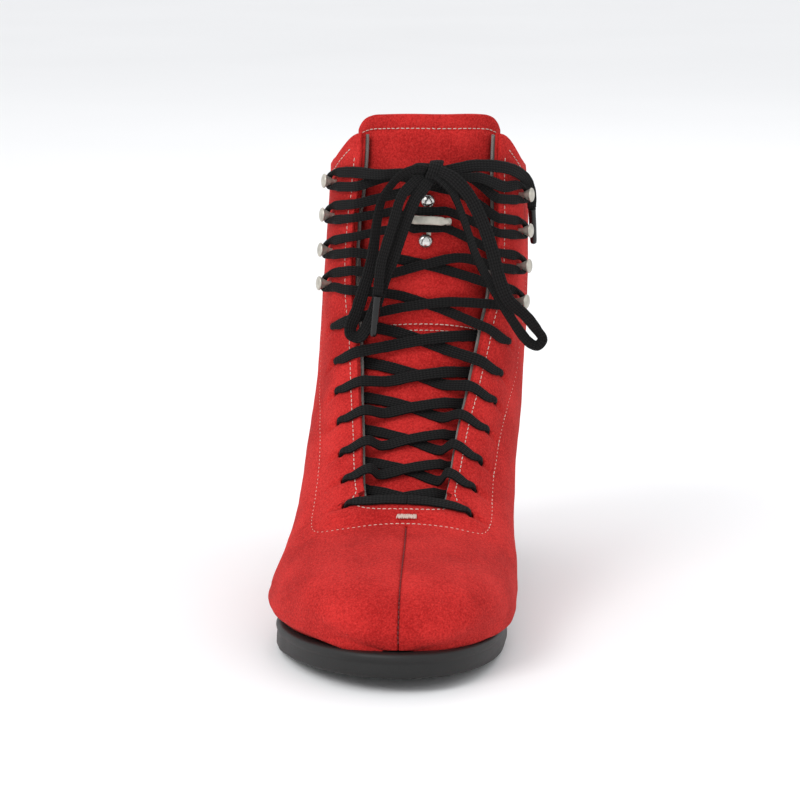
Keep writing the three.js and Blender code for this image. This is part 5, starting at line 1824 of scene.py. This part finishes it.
    def free(self, name: str, node: str, body: Body, points: Route,
             turns: Sequence[tuple[float, float]], end: str, fittings: Sequence[bpy.types.Object] = (),
             widths: Sequence[tuple[float, float]] = ((0, 4.4), (1, 4.4))) -> None:
        """Makes a lace that hangs free.

        Args:
            name: the piece's name.
            node: the frame's node that it stands for.
            body: what it rides on.
            points: the route.
            turns: how far the lace is turned about its length, in degrees, at shares of the route.
            end: not used.
            fittings: not used.
            widths: its width at shares of the route.
        """
        lace = Ribbon(thickness=self.free_thickness, slack=1.0, full_width=self.free_width)
        route = np.array(points)
        along = unit(np.gradient(route, axis=0))
        view = np.array([0.04, -1.0, 0.18])
        flat = unit(np.cross(along, view))
        way = flat[0]
        shares = np.linspace(0, 1, len(route))
        for i, point in enumerate(route):
            across = flat[i] if np.dot(flat[i], way) > 0 else -flat[i]
            way = across
            turn = math.radians(float(np.interp(shares[i], *zip(*turns))))
            edge = unit(np.cross(across, along[i]))
            width = float(np.interp(shares[i], *zip(*widths)))
            lace.add(point, across * math.cos(turn) + edge * math.sin(turn), width)
        piece, middle = lace.make(name, node, body, 8)
        (middle[0] * METRE).tolist()
        (middle * METRE).tolist()

    def aglet(self, name: str, node: str, body: Body, tail: Route) -> bpy.types.Object:
        """Makes the sheath on a tail's end: a rolled tube, a little wider at its mouth."""
        before, end = np.array(tail[-2]), np.array(tail[-1])
        along = unit(end - before)
        side = unit(np.cross(along, [0, 1, 0]))
        face = np.cross(along, side)
        turn = circle(self.aglet_sides)
        profile = [(0.05, 0.35), (1.55, 0.3), (1.78, 0.45), (1.8, 0.8), (1.7, 1.4), (1.66, 6.0), (1.6, 12.0),
                   (1.5, 16.8), (1.35, 17.8), (1.0, 18.2), (0.05, 18.3)]
        rings = [end + along * h + r * (np.cos(turn)[:, None] * side + np.sin(turn)[:, None] * face)
                 for r, h in profile]
        piece = tube(name, np.array(rings))
        fix_normals(piece)
        AGLET.dress(piece, body, node)
        return piece

    def bow(self) -> None:
        """Makes the knot, two loops and two tails with their aglets."""
        turned_over = ((0, 10), (0.2, 50), (0.38, 5), (0.52, 22), (0.6, 20), (0.75, 10), (1, 0))
        self.free("bow_loop_left_woven", "bow_loop_left", Body.LEFT_BOW, self.left_loop, turned_over, "object", (),
                  ((0, 4), (0.3, 4.6), (0.42, 5.6), (0.6, 5.6), (0.9, 5.2), (1, 4)))
        self.free("bow_loop_right_woven", "bow_loop_right", Body.RIGHT_BOW, self.right_loop,
                  ((0, 40), (0.2, 45), (0.4, 10), (0.52, 34), (0.6, 30), (0.7, 5), (1, 0)), "object", (),
                  ((0, 4), (0.3, 4.4), (0.5, 4.8), (0.65, 5.8), (0.9, 5.8), (1, 4.2)))
        left = self.aglet("aglet_left_sheath", "aglet_left", Body.LEFT_BOW, self.left_tail)
        right = self.aglet("aglet_right_sheath", "aglet_right", Body.BOOT, self.right_tail)
        straight = ((0, 10), (0.6, 0), (1, 0))
        self.free("lace_tail_left_woven", "lace_tail_left", Body.LEFT_BOW, self.left_tail, straight, "fitting", [left])
        self.free("lace_tail_right_woven", "lace_tail_right", Body.BOOT, self.right_tail, ((0, 0), (1, 15)),
                  "fitting", [right], ((0, 4.4), (0.3, 5.4), (0.7, 5.2), (1, 4)))
        centre = np.array(self.knot)
        axis = unit(np.array([1.0, 0.05, -0.1]))
        upright = unit(np.array([0.1, 0, 1.0]))
        front = np.cross(upright, axis)
        turn = circle(self.knot_sides)
        profile = [(0.1, -8.0), (2.2, -7.9), (3.1, -6.6), (3.5, -4.5), (3.6, 0), (3.5, 4.5), (3.1, 6.6), (2.2, 7.9),
                   (0.1, 8.0)]
        rings = [centre + axis * h + r * (np.cos(turn)[:, None] * upright * 1.1 + np.sin(turn)[:, None] * front * 0.9)
                 for r, h in profile]
        flat = np.stack([np.repeat([[h] for _, h in profile], self.knot_sides, 1),
                         np.tile(turn / math.pi, (len(profile), 1))], -1)
        core = tube("lace_knot_core", np.array(rings), flat)
        fix_normals(core)
        LACING.dress(core, Body.BOOT, "lace_knot")
        band = Ribbon(thickness=1.4, slack=1.0, full_width=5.0)
        for share in np.linspace(0, 1, 17):
            angle = 2 * math.pi * share
            slide = 1.4 * math.cos(angle) + 1.2
            round_core = math.cos(angle) * upright * 1.12 + math.sin(angle) * front
            band.add(centre + axis * slide + self.band_radius * round_core, axis + upright * 0.12, self.band_width)
        band.make("lace_knot_band", "", Body.BOOT, 5)

    def build(self) -> None:
        """Makes every length of lace."""
        self.bow()
        self.held()


# ---------------------------------------------------------------- studio
@dataclass(frozen=True)
class Studio:
    """A plain pale floor, soft light and a camera in front of the boot, slightly above it."""

    half_floor: float = 15000.0
    camera_place: tuple[float, float, float] = (56.5, -1276.5, 344.6)
    camera_target: tuple[float, float, float] = (-3.9, 0.0, 93.0)
    lens: float = 134.7
    sky: float = 1.0

    def light(self, name: str, place: tuple[float, float, float], size: float, power: float) -> None:
        """Hangs a large soft lamp aimed at the boot.

        Args:
            name: the lamp's name.
            place: its place, in metres.
            size: the side of its square, in metres.
            power: its power, in watts.
        """
        lamp = bpy.data.lights.new(name, "AREA")
        lamp.shape = "SQUARE"
        lamp.size = size
        lamp.energy = power
        lamp.use_shadow = True
        holder = bpy.data.objects.new(name, lamp)
        holder.location = place
        aim = Vector((0, 0, 0.1)) - Vector(place)
        holder.rotation_euler = aim.to_track_quat("-Z", "Y").to_euler()
        bpy.context.scene.collection.objects.link(holder)

    def camera(self) -> None:
        """Sets the camera."""
        lens = bpy.data.cameras.new("camera")
        lens.lens = self.lens
        lens.sensor_width = 36
        lens.clip_start, lens.clip_end = 0.05, 60
        holder = bpy.data.objects.new("camera", lens)
        place = Vector(self.camera_place) * METRE
        holder.location = place
        holder.rotation_euler = (Vector(self.camera_target) * METRE - place).to_track_quat("-Z", "Y").to_euler()
        bpy.context.scene.collection.objects.link(holder)
        bpy.context.scene.camera = holder

    def build(self) -> None:
        """Makes the floor, sky, lamps and camera."""
        self.camera()
        h = self.half_floor
        floor = new_piece("floor", [(-h, -h, 0), (h, -h, 0), (h, h, 0), (-h, h, 0)], [(0, 1, 2, 3)])
        FLOOR.lay_on(floor)
        world = bpy.data.worlds.new("studio")
        world.use_nodes = True
        shade = next(n for n in world.node_tree.nodes if n.type == "BACKGROUND")
        shade.inputs["Color"].default_value = (0.97, 0.98, 1.0, 1)
        shade.inputs["Strength"].default_value = self.sky
        bpy.context.scene.world = world
        self.light("key", (-1.0, -1.2, 1.4), 0.9, 15)
        self.light("fill", (1.3, -1.1, 0.9), 1.1, 1.5)
        self.light("back", (0.3, 1.4, 1.5), 1.0, 6)
        bpy.context.scene.view_settings.view_transform = "Standard"


def main() -> None:
    """Builds the boot and its studio."""
    logging.basicConfig(level=logging.INFO, format="%(message)s")
    Studio().build()
    Laces().build()
    Upper().build()
    Lining().build(frame["nodes"])
    Tongue().build()
    Hook().build()
    Sole().build()


if __name__ == "__main__":
    main()
